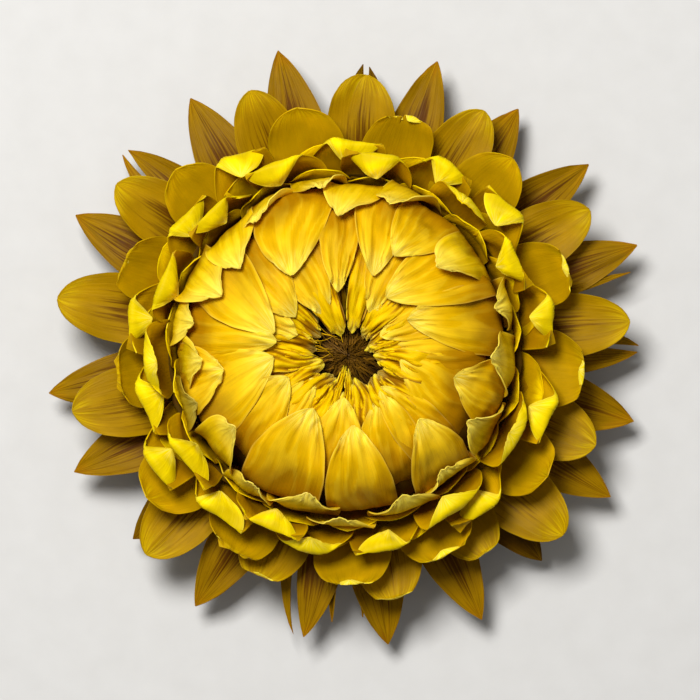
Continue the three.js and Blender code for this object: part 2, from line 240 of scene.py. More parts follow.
SCALES_LOW = Row(
    "scale_bracts_low", ROUNDED, half_width=3.0, cup=0.1, lap=0.3,
    bracts=even_row(10, 0, 0.4), relief=Relief(broad=0.1, margin=0.12), across=10, along=16,
    flat=[(6.2, 0.7), (8.6, 0.75), (11.0, 1.5), (13.2, 2.2)],
    rolled=[(6.2, 0.7), (8.6, 0.7), (11.0, 1.2), (13.2, 1.6)],
)
SCALES_HIGH = Row(
    "scale_bracts_high", ROUNDED, half_width=3.9, cup=0.1, lap=0.3,
    bracts=even_row(10, 18, 0.7), relief=Relief(broad=0.1, margin=0.12), across=10, along=18,
    flat=[(9.4, 2.3), (12.2, 2.35), (15.0, 3.0), (18.0, 3.3)],
    rolled=[(9.4, 2.3), (12.2, 2.3), (15.0, 2.7), (18.0, 2.6)],
)
OUTER_ROW = Row(
    "outer_row_bracts", POINTED, half_width=3.4, cup=0.35, lap=0.35,
    bracts=table(
        "azimuth reach roll tone split width",
        # Bracts with a tone below 1 lie low and are darkened as painted shade.
        (0, -0.7, 0.5, 1, (0.15, 0.5, 0.1)), (19.5, 1.0, 0.2), (37, 0.6, 0.4), (54, -0.4, 0.8),
        (72, 0.1, 0.3), (85.5, -1.7, 0.9, 0.6, (0, 0.5, 0.1)), (102.5, 0.4, 0.2), (121.5, -0.8, 0.4),
        (138, -0.7, 0.7, 1, (0.35, 0.7, 0.1)), (153.5, -0.1, 0.5), (168, -2.6, 1, 0.55), (188.5, -0.3, 0.6),
        (204.5, -0.6, 0.2), (222, -1.8, 0.9, 0.7), (240, -0.4, 0.6),
        (261, -1.2, 0.3, 1, (-0.55, 0.35, 0.16)), (278.5, -0.2, 0.7), (297, 0.3, 0.5),
        (313, -1.2, 1, 0.55), (331, 0.4, 0.4), (346, -0.2, 0.6), (15, -0.6, 0.2, 1, (), 0.2),
        (267.5, -3.1, 0.3, 1, (), 0.18), (274, -3.6, 0.3, 1, (), 0.2),
    ),
    relief=Relief(broad=0.3, ridges=7, ridge_depth=0.05, margin=0.25), across=18, along=30,
    flat=[(11.2, 4.1), (15.0, 5.0), (20.0, 5.9), (25.5, 6.5), (30.0, 6.3), (33.2, 5.8)],
    rolled=[(11.2, 4.1), (15.0, 4.95), (20.0, 5.5), (25.5, 5.4), (30.0, 4.5), (33.0, 3.4)],
)
RAY_ROW_LOW = Row(
    "ray_bracts_low", ROUNDED, half_width=3.8, cup=0.6, lap=0.2,
    bracts=table(
        "azimuth reach roll curl split",
        (5.5, 0.7, 0), (29.5, 0.2, 0.1), (59.5, -0.4, 0.2), (86, -0.6, 0.1, 0, (0.5, 0.72, 0.1)),
        (110, -0.5, 0.3), (144, 0.1, 0.2), (170, 1.1, 0), (193, -0.1, 0.3), (226, 0.5, 0),
        (249.5, -3.0, 0.8, 120), (281.5, -1.9, 0.5, 90), (305, -2.6, 0.6, 90),
        (320, 0.8, 0.2, 0, (0.5, 0.84, 0.05)), (339, -1.1, 0.3),
    ),
    relief=Relief(broad=0.35, ridges=8, ridge_depth=0.05, margin=0.3), across=14, along=28,
    flat=[(13.6, 6.4), (17.5, 7.3), (21.5, 8.0), (25.5, 8.6), (28.8, 8.9), (30.8, 8.9)],
    rolled=[(13.6, 6.4), (17.5, 7.3), (21.5, 8.2), (25.5, 9.2), (28.5, 10.2), (30.3, 11.0)],
    curl_from=0.93, curl_over=0.05,
)
RAY_ROW_HIGH = Row(
    "ray_bracts_high", ROUNDED, half_width=4.1, cup=0.6, lap=0.15,
    bracts=table(
        "azimuth reach roll curl slant split",
        (20.5, -0.3, 0.8, 110, 0.06), (48.5, 0.4, 0.2), (75, 0, 0.6, 100, 0.06, (0.1, 0.82, 0.06)),
        (101, -0.4, 0.3), (133.5, -0.5, 0.3), (158, -0.6, 0.7, 130, -0.05), (186.5, -1.6, 0.9, 140),
        (217, -0.1, 0.5), (241, -1.4, 0.7, 140), (271.5, -0.7, 0.7, 110), (296, -1.4, 0.9, 120, -0.06),
        (328, -0.5, 0.6), (355, -0.2, 0.5, 120, 0.05),
    ),
    relief=Relief(broad=0.3, ridges=7, ridge_depth=0.04, margin=0.25), across=16, along=32,
    flat=[(15.7, 7.4), (19.0, 8.8), (22.3, 10.2), (25.0, 11.3), (26.7, 11.9), (27.8, 12.3)],
    rolled=[(15.7, 7.4), (19.0, 8.8), (22.3, 10.5), (24.8, 12.1), (26.1, 13.4), (26.3, 14.8)],
    curl_from=0.92, curl_over=0.05,
)
COLLAR_RELIEF = Relief(
    broad=0.35, ridge_depth=0.04, creases=0.1, margin=0.35, flutes=1.3, belly=0.5, bow=0.12,
)
COLLAR_ROW_LOW = Row(
    "collar_bracts_low", CUSPED, half_width=4.2, cup=0.9, lap=0.4,
    bracts=table(
        "azimuth reach roll curl slant",
        (10, 0, 0.9, 135, 0.19), (39, 1.3, 0.7, 130, -0.27), (61, 0.2, 0.9, 130, 0.15),
        (90, -0.5, 1, 140, 0.19), (121, 1.6, 0.7, 110, 0.23), (143, -0.4, 0.9, 135, 0.23),
        (171, 0.9, 0.8, 140, -0.19), (193, -0.6, 0.9, 135, -0.19), (210, 1.9, 0.7, 150, -0.23),
        (229, -0.2, 0.8, 140, -0.3), (260, -1.2, 0.5, 70), (284, -0.9, 0.9, 145, 0.23),
        (313, 0.6, 0.8, 140, 0.27), (343, 0.9, 0.7, 130, 0.19),
    ),
    relief=COLLAR_RELIEF, across=22, along=44,
    flat=[(17.4, 9.5), (19.5, 11.1), (21.2, 12.6), (22.6, 14.0), (23.8, 15.3), (25.0, 16.4)],
    rolled=[(17.4, 9.5), (19.5, 11.2), (21.2, 13.0), (22.5, 14.8), (23.5, 16.5), (24.4, 18.2)],
    curl_from=0.72,
)
COLLAR_ROW_HIGH = Row(
    "collar_bracts_high", CUSPED, half_width=4.2, cup=0.8, lap=0.35,
    bracts=table(
        "azimuth reach roll curl slant sway width",
        (28.5, 0.2, 1, 125, 0.18), (51, -0.5, 0.2, 25, 0, 0, 0.9), (79, 0.4, 1, 120, -0.18),
        (109, 0.4, 1, 130, -0.18, 0.6), (133, -0.4, 1, 130, -0.14), (161, -0.1, 1, 135, 0.11, 0.4),
        (184, 0.6, 0.3, 50), (213, -0.1, 1, 135, -0.22), (247, 0, 0.9, 130, -0.09), (304, 0.1, 0.4, 70),
        (333, 0, 0.3, 45),
    ),
    relief=COLLAR_RELIEF, across=22, along=44,
    flat=[(18.65, 12.3), (19.8, 13.9), (20.7, 15.4), (21.3, 16.7), (21.8, 17.9), (22.2, 19.0)],
    rolled=[(18.65, 12.3), (19.8, 14.0), (20.6, 15.8), (21.2, 17.6), (21.5, 19.4), (21.6, 21.2)],
    curl_from=0.65,
)
COLLAR_LINING = Row(
    "collar_lining", ROUNDED, half_width=3.6, cup=0.5, lap=0.25,
    bracts=even_row(19, 4, 0.5), relief=Relief(broad=0.25, margin=0.25), across=12, along=20,
    flat=[(17.8, 10.4), (18.2, 11.8), (18.6, 13.0), (19.1, 14.1), (19.8, 15.0)],
    rolled=[(17.8, 10.4), (18.1, 11.8), (18.3, 13.2), (18.6, 14.4), (19.0, 15.5)],
)
UNDER_ROW = Row(
    "under_bracts", ROUNDED, half_width=4.2, cup=0.5, lap=0.25,
    bracts=even_row(13, 12, 0.4), relief=Relief(broad=0.2, margin=0.2), across=12, along=20,
    flat=[(15.2, 7.6), (17.4, 9.0), (19.4, 10.7), (21.2, 12.2), (22.6, 13.2)],
    rolled=[(15.2, 7.6), (17.4, 9.1), (19.3, 10.9), (20.9, 12.7), (22.0, 14.2)],
)
SHOULDER_RELIEF = Relief(broad=0.3, creases=0.2, keel=-0.35, margin=0.6, flutes=1.2, tip=0.3, bow=0.08)
SHOULDER_ROW_LOW = Row(
    "shoulder_bracts_low", CUSPED, half_width=3.6, cup=0.1, lap=0.25,
    bracts=table(
        "azimuth reach roll width curl slant sway tone",
        (15, 4, 0, 0.85), (62, 13, 0.1, 0.95, -18, -0.1, 3.0), (98, 5, 0, 0.9, -12),
        # The bract at 200 degrees lies lower and is darkened by its tone as painted shade.
        (154, 24, 0.1, 0.9, -8, 0.1, 0.6), (170, 8, 0, 0.9), (200, 3, -0.3, 0.9, 0, 0, 0, 0.7),
        (236, 6, 0, 0.85, -20), (268, -7, 0), (292, 5, 0.1, 1.1), (330, 19, 0.1, 0.85, -10, 0.12),
        (352, 17, 0.1, 0.95, -15, -0.06, 1.3),
    ),
    relief=SHOULDER_RELIEF, across=22, along=40,
    start=-8, end=40, lift=(-0.8, 1.0, 1.9, 2.3), curl_from=0.68, curl_over=0.2,
)
SHOULDER_ROW_HIGH = Row(
    "shoulder_bracts_high", CUSPED, half_width=3.5, cup=0.1, lap=0.25,
    bracts=table(
        "azimuth reach roll width curl slant sway",
        (33, 15, 0.1, 0.95, -18, -0.08, 2.0), (83, 8, 0.1, 0.95, -15, 0.06, 2.3),
        (111, -6, 0.2, 1, -12, -0.1, 4.0), (133, 9, 0.1, 0.9, -10, 0, 2.2),
        (184.5, 3, 0.1, 0.95, -12, -0.05), (221, 9, 0.1, 0.95, -18, 0.1, -1.3), (256, -5, 0.1, 1.15),
        (309, -12, -0.2, 0.9),
    ),
    relief=SHOULDER_RELIEF, across=22, along=40,
    start=3, end=56, lift=(-0.8, 0.9, 1.7, 2.0), curl_from=0.68, curl_over=0.2,
)
DOME_RELIEF = Relief(
    broad=0.4, ridges=6, ridge_depth=0.13, creases=0.3, margin=0.06, tip=0.2, crumple=0.25, wander=0.25,
)
DOME_ROW_LOW = Row(
    "dome_bracts_low", BROAD, half_width=4.1, cup=-0.05, lap=0.22,
    bracts=table(
        "azimuth reach roll width sway",
        (8, 20, 0, 1, 2.4), (31, 22, 0.1, 1.05, 2.7), (53, -3, 0.35, 0.95, 1.8), (77, 12, 0.1, 0.75, -1.2),
        (106, 8, 0.4, 1.15, 3.2), (147, 18, 0.25, 1, 2.5), (172, 18, 0, 0.9), (190, -14, 0.35, 0.95),
        (205, 19, 0.05, 1.05, -2.6), (244, 20, 0.3, 1.05, -0.4), (276, 14, 0.35, 0.9),
        (307, -1, 0.4, 0.9, 1.9), (342, -9, 0.35, 0.9, 0.8),
    ),
    relief=DOME_RELIEF, across=28, along=46,
    start=0, end=82, lift=(-0.6, 0.7, 1.2, 1.5),
)
DOME_ROW_HIGH = Row(
    "dome_bracts_high", BROAD, half_width=3.4, cup=-0.05, lap=0.22,
    bracts=table(
        "azimuth reach roll width sway",
        (357, 18, 0.1, 0.8, 0.6), (20, 20, 0, 0.8, 0.6), (60, 14, 0, 0.9), (92, 4, 0.35, 0.62, 0.6),
        (118, 16, 0, 0.95), (136, 4, 0.25, 0.95, 1.0), (160, 10, 0, 0.9), (221, 4, 0.2, 1, -1.9),
        (231, 18, 0, 0.85, -1.0), (263, 14, 0.2, 0.9, 0.3), (290, 9, 0.25, 1.05, 1.9), (314, 12, 0, 0.85),
        (335, 10, 0.1, 1.05, 1.9),
    ),
    relief=replace(DOME_RELIEF, broad=0.25, ridge_depth=0.17, tip=0.15), across=26, along=42,
    start=30, end=102, lift=(-0.6, 0.5, 0.85, 1.05),
)
MOUTH_RELIEF = Relief(
    broad=0.35, ridges=4.5, ridge_depth=0.42, creases=0.15, flutes=2.4, tip=0.25, crumple=0.5, wander=0.5,
)
MOUTH_ROW = Row(
    "mouth_bracts", NARROW, half_width=1.6, cup=0.1, lap=0.25,
    bracts=table(
        "azimuth reach roll width sway",
        (6, 5, 0.5, 0.95, 0.3), (23, 8, 0.3, 0.9, -0.3), (39, 7, 0.5, 0.95, 0.5), (56, 8, 0.2, 0.8, -0.4),
        (76, 4, 0.5, 0.9, 0.2), (114, 7, 0.4, 1.1, -0.2), (144, -1, 0.2, 1, 0.2), (166, 1, 0.3, 0.95, 0.3),
        (186, -1, 0.4, 0.95, 0.4), (206, 2, 0.2, 1.05, -0.2), (226, 5, 0.4, 1, 0.5), (244, 1, 0.2, 0.9),
        (257, 21, 0.1, 0.32), (273, 15, 0.1, 0.36), (288, 1, 0.4, 1.1), (309, -4, 0.5, 1.15, 0.4),
        (329, -5, 0.4, 1.05), (346, -1, 0.8, 1.1, 0.5),
    ),
    relief=MOUTH_RELIEF, across=24, along=40,
    start=66, end=130, lift=(-0.9, 0.1, 0.55, 0.55),
)
CREASED_ROW = Row(
    "creased_bracts", NARROW, half_width=2.1, cup=0.05, lap=0.15,
    bracts=table(
        "azimuth reach roll width tone",
        (16, 1, 0.1, 0.9), (42, -2, 0.1, 0.95), (74, 0, 0.2, 0.95), (117, -3, 0.1, 0.85), (152, -4, 0.1),
        (187, -6, 0.1), (213, -2, 0.1), (239, 0, 0.1), (266, -4, 0.1), (293, -3, 0.1), (318, -7, 0.1),
        # The last two lie low in fissures of the mouth, darkened by their tone as painted shade.
        (343, -5, 0.1), (97, 1, -0.3, 0.5, 0.45), (133, -5, -0.3, 0.5, 0.45),
    ),
    relief=replace(MOUTH_RELIEF, broad=0.25, margin=0.2, tip=0.1, crumple=0.4), across=24, along=36,
    start=60, end=128, lift=(-0.9, 0.0, 0.35, 0.3),
)

# The turned layers under the bracts, where their bases grow together, and the cut stem.
TURN_STEPS = 144
BASE_RIB_DEPTH = 0.3
EASED_CORNER = math.radians(15)
DISH_SECTION = [
    (2.6, 0), (6.8, 0), (8.5, 1.0), (11.0, 2.3), (14.0, 3.8), (14.5, 4.5), (13.5, 5.1), (11.0, 5.5),
    (9.1, 5.4), (8.7, 4.05), (6.7, 2.95), (3.3, 1.8), (2.6, 0.95),
]
BOWL_SECTION = [
    (9.6, 5.9), (13.5, 5.75), (15.2, 6.3), (17.0, 8.0), (18.6, 10.6), (19.6, 13.1), (19.0, 13.1),
    (18.0, 10.7), (15.6, 8.4), (12.6, 7.0), (9.6, 6.5),
]
WALL_FOOT = [(9.6, 7.6), (9.6, 7.0), (12.4, 7.5), (15.2, 8.8), (16.9, 10.8)]
WALL_INSIDE = [(4.4, 19.0), (5.6, 17.7), (9.5, 17.0), (13.2, 14.6), (13.9, 12.2), (11.6, 8.5)]
WALL_END = 120
WALL_STEP = 8
WALL_SINK = 0.5
STEM_RADIUS = 2.1
STEM_RIBS = 9
STEM_RIB_DEPTH = 0.14
STEM_FLARE = 1.5
STEM_SECTION = [
    (0, 0.55), (0.35, 0.4), (0.55, 0.05), (0.7, 0), (1.3, 0), (STEM_RADIUS, 0), (2.15, 0.5), (2.2, 1.1),
    (3.0, 2.2), (6.5, 3.4), (8.2, 4.4), (8.6, 5.6), (8.0, 6.5), (4.0, 7.1), (0, 7.2),
]
PITH_RADIUS = 1.25
PITH_BLEND = 0.2
FLORET_BED = [
    (0, 7.8), (8.2, 7.15), (9.2, 7.9), (11.2, 9.0), (13.3, 12.2), (12.6, 14.3), (9.2, 16.3), (4.9, 16.9),
    (3.0, 15.8), (0, 15.3),
]

# The florets' spacing, the level of their feet at the middle and its rise outwards, how far from the
# middle the bristles stand, and the turn from one to the next.
FLORET_SPACING = 0.33
FLORET_LEVEL = 14.9
BRISTLE_REACH = 4.6
BED_RISE = 0.06
GOLDEN_ANGLE = math.radians(137.508)

# The loose threads at the mouth: how many, and the side where they lie with its spread, in degrees.
THREADS = 15
THREAD_SIDE = 150
THREAD_SPREAD = 42

# The stage, in metres and watts.
FLOOR_SIZE = 3
ROOM_STRENGTH = 0.24
LIGHT_PLACE = (-0.1, 0.16, 0.45)
LIGHT_SIZE = 0.15
LIGHT_POWER = 3.4
CAMERA_AWAY = 0.8
SENSOR_WIDTH = 36


def swatch(name, description, default):
    """A colour property, in linear red, green and blue."""
    return bpy.props.FloatVectorProperty(
        name=name, description=description, subtype="COLOR", size=3, default=default,
    )


class HeadSizes(bpy.types.PropertyGroup):
    sheet: bpy.props.FloatProperty(
        name="Bract thickness", description="Thickness of a papery bract",
        default=0.12 * MM, min=0.05 * MM, max=0.6 * MM, unit="LENGTH", precision=5,
    )
    florets: bpy.props.IntProperty(
        name="Florets", description="How many disc florets fill the mouth", default=190, min=20, max=400,
    )


class HeadColours(bpy.types.PropertyGroup):
    gold: swatch("Gold", "The dome's bracts", (0.82, 0.46, 0.0005))
    # Bright tips is partly painted light on the folded tips, and on the margins of the ray and collar
    # bracts it is a painted highlight.
    sun: swatch("Bright tips", "Folded tips and rims", (0.98, 0.78, 0.001))
    # Pale tips is a painted highlight on the ridges near the dome's tips and on the margins of the bracts.
    painted_highlight: swatch("Pale tips", "Worn ridges at the dome's tips", (1.0, 0.86, 0.22))
    # Folds is painted shade in the creases of the dome's bracts, and partly painted shade at their bases.
    orange: swatch("Folds", "Bases and creases of the dome's bracts", (0.33, 0.12, 0.0005))
    # Olive and amber are darker than the ray and outer bracts' own colours, partly as painted shade for the
    # light falling off toward the edge of the head.
    olive: swatch("Olive gold", "The ray bracts", (0.44, 0.255, 0.0005))
    amber: swatch("Amber", "The outer bracts", (0.22, 0.1, 0.0005))
    rust: swatch("Rust", "Streaks at the bases of the ray and outer bracts", (0.08, 0.016, 0.0005))
    shade: swatch("Bract bases", "The grown-together bases, deep between the bracts", (0.06, 0.03, 0.001))
    floret: swatch("Floret", "The disc florets", (0.07, 0.028, 0.003))
    stem: swatch("Stem", "The dry stem", (0.2, 0.13, 0.04))
    pith: swatch("Pith", "The pale middle of the cut stem", (0.55, 0.45, 0.25))
    floor: swatch("Floor", "The plain floor", (0.5, 0.49, 0.47))


def on_curve(points, i, t):
    """The place a share t of the way from point i to the next, on the smooth curve through the points."""
    last = len(points) - 1
    near = [Vector(points[min(max(k, 0), last)]) for k in (i - 1, i, i + 1, i + 2)]
    start, end = (near[2] - near[0]) / 2, (near[3] - near[1]) / 2
    rise = near[2] - near[1]
    return near[1] + start * t + (3 * rise - 2 * start - end) * t ** 2 + (start + end - 2 * rise) * t ** 3


class Midrib:
    """A bract's midrib in section, read by its share of the length, with a curl added near the tip."""

    STEPS = 72
    FINE = 240

    def __init__(self, points, curl, curl_from, curl_over):
        fine = [self.spline(points, i / self.FINE) for i in range(self.FINE + 1)]
        lengths = [0.0]
        for a, b in zip(fine, fine[1:]):
            lengths.append(lengths[-1] + (b - a).length)
        step = lengths[-1] / self.STEPS
        even = [self.at_length(fine, lengths, k * step) for k in range(self.STEPS + 1)]
        self.points = [even[0]]
        self.headings = []
        for k, (a, b) in enumerate(zip(even, even[1:])):
            heading = math.atan2(b.y - a.y, b.x - a.x)
            if self.headings and heading < self.headings[-1] - math.pi:
                heading += 2 * math.pi
            self.headings.append(heading)
        for k, heading in enumerate(self.headings):
            heading += curl * smooth(((k + 0.5) / self.STEPS - curl_from) / curl_over)
            self.headings[k] = heading
            self.points.append(self.points[-1] + step * Vector((math.cos(heading), math.sin(heading))))

    @staticmethod
    def spline(points, share):
        last = len(points) - 1
        i = min(int(share * last), last - 1)
        return on_curve(points, i, share * last - i)

    @staticmethod
    def at_length(fine, lengths, length):
        i = next((k for k in range(1, len(lengths) - 1) if lengths[k] >= length), len(lengths) - 1)
        share = (length - lengths[i - 1]) / (lengths[i] - lengths[i - 1])
        return fine[i - 1].lerp(fine[i], min(1.0, max(0.0, share)))

    def at(self, share):
        """The point and the heading at a share of the length. Before the root the line runs straight."""
        place = share * self.STEPS
        i = min(max(int(place), 0), self.STEPS - 1)
        between = min(max(place - 0.5, 0.0), self.STEPS - 1.001)
        k = int(between)
        heading = self.headings[k] + (self.headings[k + 1] - self.headings[k]) * (between - k)
        return self.points[i].lerp(self.points[i + 1], place - i), heading


def midrib_of(row, bract):
    """The bract's own midrib: between its row's flat and rolled lines, or over the dome at its lift."""
    if row.flat:
        last = len(row.flat) - 1
        points = [
            (r + (rolled_r - r) * bract.roll + bract.reach * i / last, z + (rolled_z - z) * bract.roll)
            for i, ((r, z), (rolled_r, rolled_z)) in enumerate(zip(row.flat, row.rolled))
        ]
    else:
        points = []
        for step in range(DOME_STEPS + 1):
            u = step / DOME_STEPS
            angle = math.radians(row.start + (row.end + bract.reach - row.start) * u)
            place = min(2, int(3 * u))
            lift = row.lift[place] + (row.lift[place + 1] - row.lift[place]) * (3 * u - place)
            off = lift + bract.roll * smooth(3 * u)
            points.append((
                DOME_RING + (DOME_REACH + off) * math.cos(angle),
                DOME_LEVEL + (DOME_RISE + off) * math.sin(angle),
            ))
    return Midrib(points, math.radians(bract.curl), row.curl_from, row.curl_over)


def deselect_all():
    if bpy.context.object and bpy.context.object.mode != "OBJECT":
        bpy.ops.object.mode_set(mode="OBJECT")
    bpy.ops.object.select_all(action="DESELECT")


def make_active(thing):
    deselect_all()
    thing.select_set(True)
    bpy.context.view_layer.objects.active = thing


def edit_select(thing, wanted):
    """Selects, in edit mode, the vertices for which wanted(vertex) is true, and nothing else."""
    mesh = bmesh.from_edit_mesh(thing.data)
    for vertex in mesh.verts:
        vertex.select = wanted(vertex)
    mesh.select_flush_mode()
    bmesh.update_edit_mesh(thing.data)


def cut_blank(row):
    """A flat blank for a row's bracts, 2 wide and 1 long from its root at y 0, cut to their outline."""
    deselect_all()
    bpy.ops.mesh.primitive_grid_add(x_subdivisions=row.across, y_subdivisions=row.along, size=2)
    blank = bpy.context.object
    bpy.ops.object.mode_set(mode="EDIT")
    bpy.ops.mesh.select_mode(type="VERT")
    for k in range(row.along + 1):
        level = -1 + 2 * k / row.along
        first = k * (row.across + 1)
        place = 1 - (1 - k / row.along) ** TIP_CROWDING
        edit_select(blank, lambda vertex: first <= vertex.index < first + row.across + 1)
        bpy.ops.transform.resize(value=(on_line(row.outline, place), 1, 1))
        bpy.ops.transform.translate(value=(0, place - level, 0))
    bpy.ops.object.mode_set(mode="OBJECT")
    return blank


def split_blank(piece, across, start):
    """Tears a bract open from its tip, along the column of edges nearest a place across it."""
    make_active(piece)
    places = across_of(piece.data)
    nearest = min(set(round(p, 4) for p in places), key=lambda p: abs(p - across))
    torn = {
        vertex.index for vertex in piece.data.vertices
        if abs(places[vertex.index] - nearest) < SAME_PLACE and vertex.co.y > start
    }
    bpy.ops.object.mode_set(mode="EDIT")
    bpy.ops.mesh.select_mode(type="EDGE")
    mesh = bmesh.from_edit_mesh(piece.data)
    for edge in mesh.edges:
        edge.select = all(vertex.index in torn for vertex in edge.verts)
    bmesh.update_edit_mesh(piece.data)
    bpy.ops.mesh.edge_split(type="EDGE")
    bpy.ops.object.mode_set(mode="OBJECT")


def across_of(mesh):
    """Each vertex's place across the blank before it was cut, from -1 to 1, out of its UV map."""
    places = [0.0] * len(mesh.vertices)
    uv = mesh.uv_layers[0].data
    for loop in mesh.loops:
        places[loop.vertex_index] = 2 * uv[loop.index].uv.x - 1
    return places


def sides_of(mesh, places):
    """On which side of a tear each vertex lies, from its faces: the mean place across of each."""
    sums = [[0.0, 0] for _ in mesh.vertices]
    for face in mesh.polygons:
        middle = sum(places[v] for v in face.vertices) / len(face.vertices)
        for v in face.vertices:
            sums[v][0] += middle
            sums[v][1] += 1
    return [total / count for total, count in sums]


def noise_at(x, y, z):
    return noise.noise(Vector((x, y, z)))


def sheet_relief(relief, u, v, seed):
    """How far the sheet lies off its smooth form, in mm, and how deep in a fold it is, from 0 to 1.
    The two margins come to one height at the tip. The seed moves each noise to a place of its own."""
    v *= 1 - 0.9 * smooth((u - 0.86) / 0.14)
    broad = noise_at(BROAD_PACE[0] * v + 7 * seed, BROAD_PACE[1] * u, 3 * seed)
    wandered = v + relief.wander * noise_at(WANDER_PACE[1] * u, WANDER_PACE[0] * v, 4 * seed + 23)
    ridged = 0.6 - 2.4 * abs(noise_at(relief.ridges * wandered / 2, RIDGE_PACE * u, 5 * seed + 11))
    side = 1 if v > 0 else -1
    flute = math.sin(2 * math.pi * (relief.flutes * u + seed + 0.31 * side))
    grown = smooth(RELIEF_GROWTH * u)
    near_tip = smooth((u - 0.5) / 0.45)
    crease = 1 - 2.2 * abs(noise_at(CREASE_PACE[0] * v + 5 * seed, CREASE_PACE[1] * u, 9 * seed))
    crumple = noise_at(CRUMPLE_PACE[0] * v + 13 * seed, CRUMPLE_PACE[1] * u, 2 * seed)
    tip = math.modf(17.3 * seed)[0]
    height = (
        grown * (relief.broad * broad + relief.ridge_depth * ridged + relief.margin * abs(v) ** 3 * flute)
        + near_tip * (relief.creases * crease - relief.keel * abs(v) + relief.tip * tip)
        + grown * relief.crumple * crumple
        - relief.belly * (1 - v * v) * smooth((u - 0.65) / 0.17) * smooth((1 - u) / 0.17)
    )
    # The second value is read by the finishes to paint shade in hollows and highlights on crests.
    return height, grown * smooth((0.32 - ridged) / 0.62)


def mark(mesh, name, values):
    """Gives each vertex a value that the finishes read."""
    marks = mesh.attributes.new(f"bract_{name}", "FLOAT", "POINT")
    marks.data.foreach_set("value", values)


def lay_bract(piece, row, index, bract):
    """Bends a cut bract on to its seat, and marks it with its seed, its tone and its hollows, which its
    finish reads for painted shade.
    """
    mesh = piece.data
    midrib = midrib_of(row, bract)
    lean = LEAN * wobble(index, 3)
    tilt = TILT * wobble(index, 4)
    cup = row.cup + (-row.lap if index % 2 else row.lap)
    half_width = row.half_width * (1 + WIDTH_SPREAD * wobble(index, 5)) * bract.width
    seed = 0.5 + 0.5 * wobble(index, 6 + len(row.name))
    places = across_of(mesh)
    sides = sides_of(mesh, places) if bract.split else places
    spots = []
    hollows = []
    for vertex, v, side_place in zip(mesh.vertices, places, sides):
        # Across the bract counts anticlockwise round the head, and the blank's x counts clockwise.
        x, u = -vertex.co.x, vertex.co.y
        v = -v
        opened = 0.0
        if bract.split:
            across, start, gap = bract.split
            side = 1 if -side_place > across else -1
            opened = side * max(0.0, u - start) / (1 - start)
            x += gap * opened
        share = u - (row.relief.bow * x * x + bract.slant * x) * smooth(BOW_GROWTH * u)
        point, heading = midrib.at(share)
        turn = math.radians(bract.azimuth) + lean * (u - 1)
        outward = Vector((math.cos(turn), math.sin(turn), 0))
        sideways = Vector((-math.sin(turn), math.cos(turn), 0))
        normal = outward * -math.sin(heading) + Vector((0, 0, math.cos(heading)))
        roll = tilt * smooth(u)
        side_line = sideways * math.cos(roll) + normal * math.sin(roll)
        face_line = normal * math.cos(roll) - sideways * math.sin(roll)
        if row.flat:
            aside = bract.sway * smooth((u - 0.6) / 0.4)
        else:
            aside = bract.sway * max(0.0, u) ** 1.5
        lateral = half_width * x + aside
        hug = lateral ** 2 * math.sin(heading) / (2 * point.x) * (1 - smooth(u) if row.flat else 1)
        raised = cup * v * x * smooth(CUP_GROWTH * u)
        relief, hollow = sheet_relief(row.relief, u, v, seed)
        hollows.append(hollow)
        height = raised + hug + (relief if row.flat else -relief) + SPLIT_RISE * opened
        place = outward * point.x + Vector((0, 0, point.y)) + side_line * lateral + face_line * height
        spots.append(shifted(place) * MM)
    for vertex, spot in zip(mesh.vertices, spots):
        vertex.co = spot
    mark(mesh, "seed", [seed] * len(spots))
    mark(mesh, "tone", [bract.tone] * len(spots))
    mark(mesh, "hollow", hollows)


def shifted(place):
    """Moves a point on the crest of the dome with the mouth, and leaves the widest part where it is."""
    near = 1 - smooth(math.hypot(place.x, place.y) / MOUTH_WITHIN)
    return place + Vector((MOUTH_X * near, MOUTH_Y * near, 0))


def copy_of(blank):
    piece = blank.copy()
    piece.data = blank.data.copy()
    bpy.context.collection.objects.link(piece)
    return piece


def join_pieces(pieces, name):
    deselect_all()
    for piece in pieces:
        piece.select_set(True)
    bpy.context.view_layer.objects.active = pieces[0]
    bpy.ops.object.join()
    joined = bpy.context.object
    joined.name = joined.data.name = name
    return joined


def apply_modifier(piece, kind, **settings):
    make_active(piece)
    modifier = piece.modifiers.new(kind.title(), kind)
    for key, value in settings.items():
        setattr(modifier, key, value)
    bpy.ops.object.modifier_apply(modifier=modifier.name)


def smooth_faces(piece, degrees=60):
    make_active(piece)
    bpy.ops.object.shade_smooth_by_angle(angle=math.radians(degrees))


def make_row(row, sheet, face, back=None):
    """Cuts one blank, lays a copy of it on each seat of the row, and gives the sheets their thickness.
    The upper side takes the first finish, and the side turned out of the head takes the second."""
    blank = cut_blank(row)
    laid = []
    for index, bract in enumerate(row.bracts):
        piece = copy_of(blank)
        if bract.split:
            split_blank(piece, -bract.split[0], bract.split[1])
        lay_bract(piece, row, index, bract)
        laid.append(piece)
    bpy.data.objects.remove(blank)
    joined = join_pieces(laid, row.name)
    joined.data.materials.append(face)
    if back:
        joined.data.materials.append(back)
    apply_modifier(joined, "SOLIDIFY", thickness=sheet, offset=0, material_offset=1)
    smooth_faces(joined)
    return joined


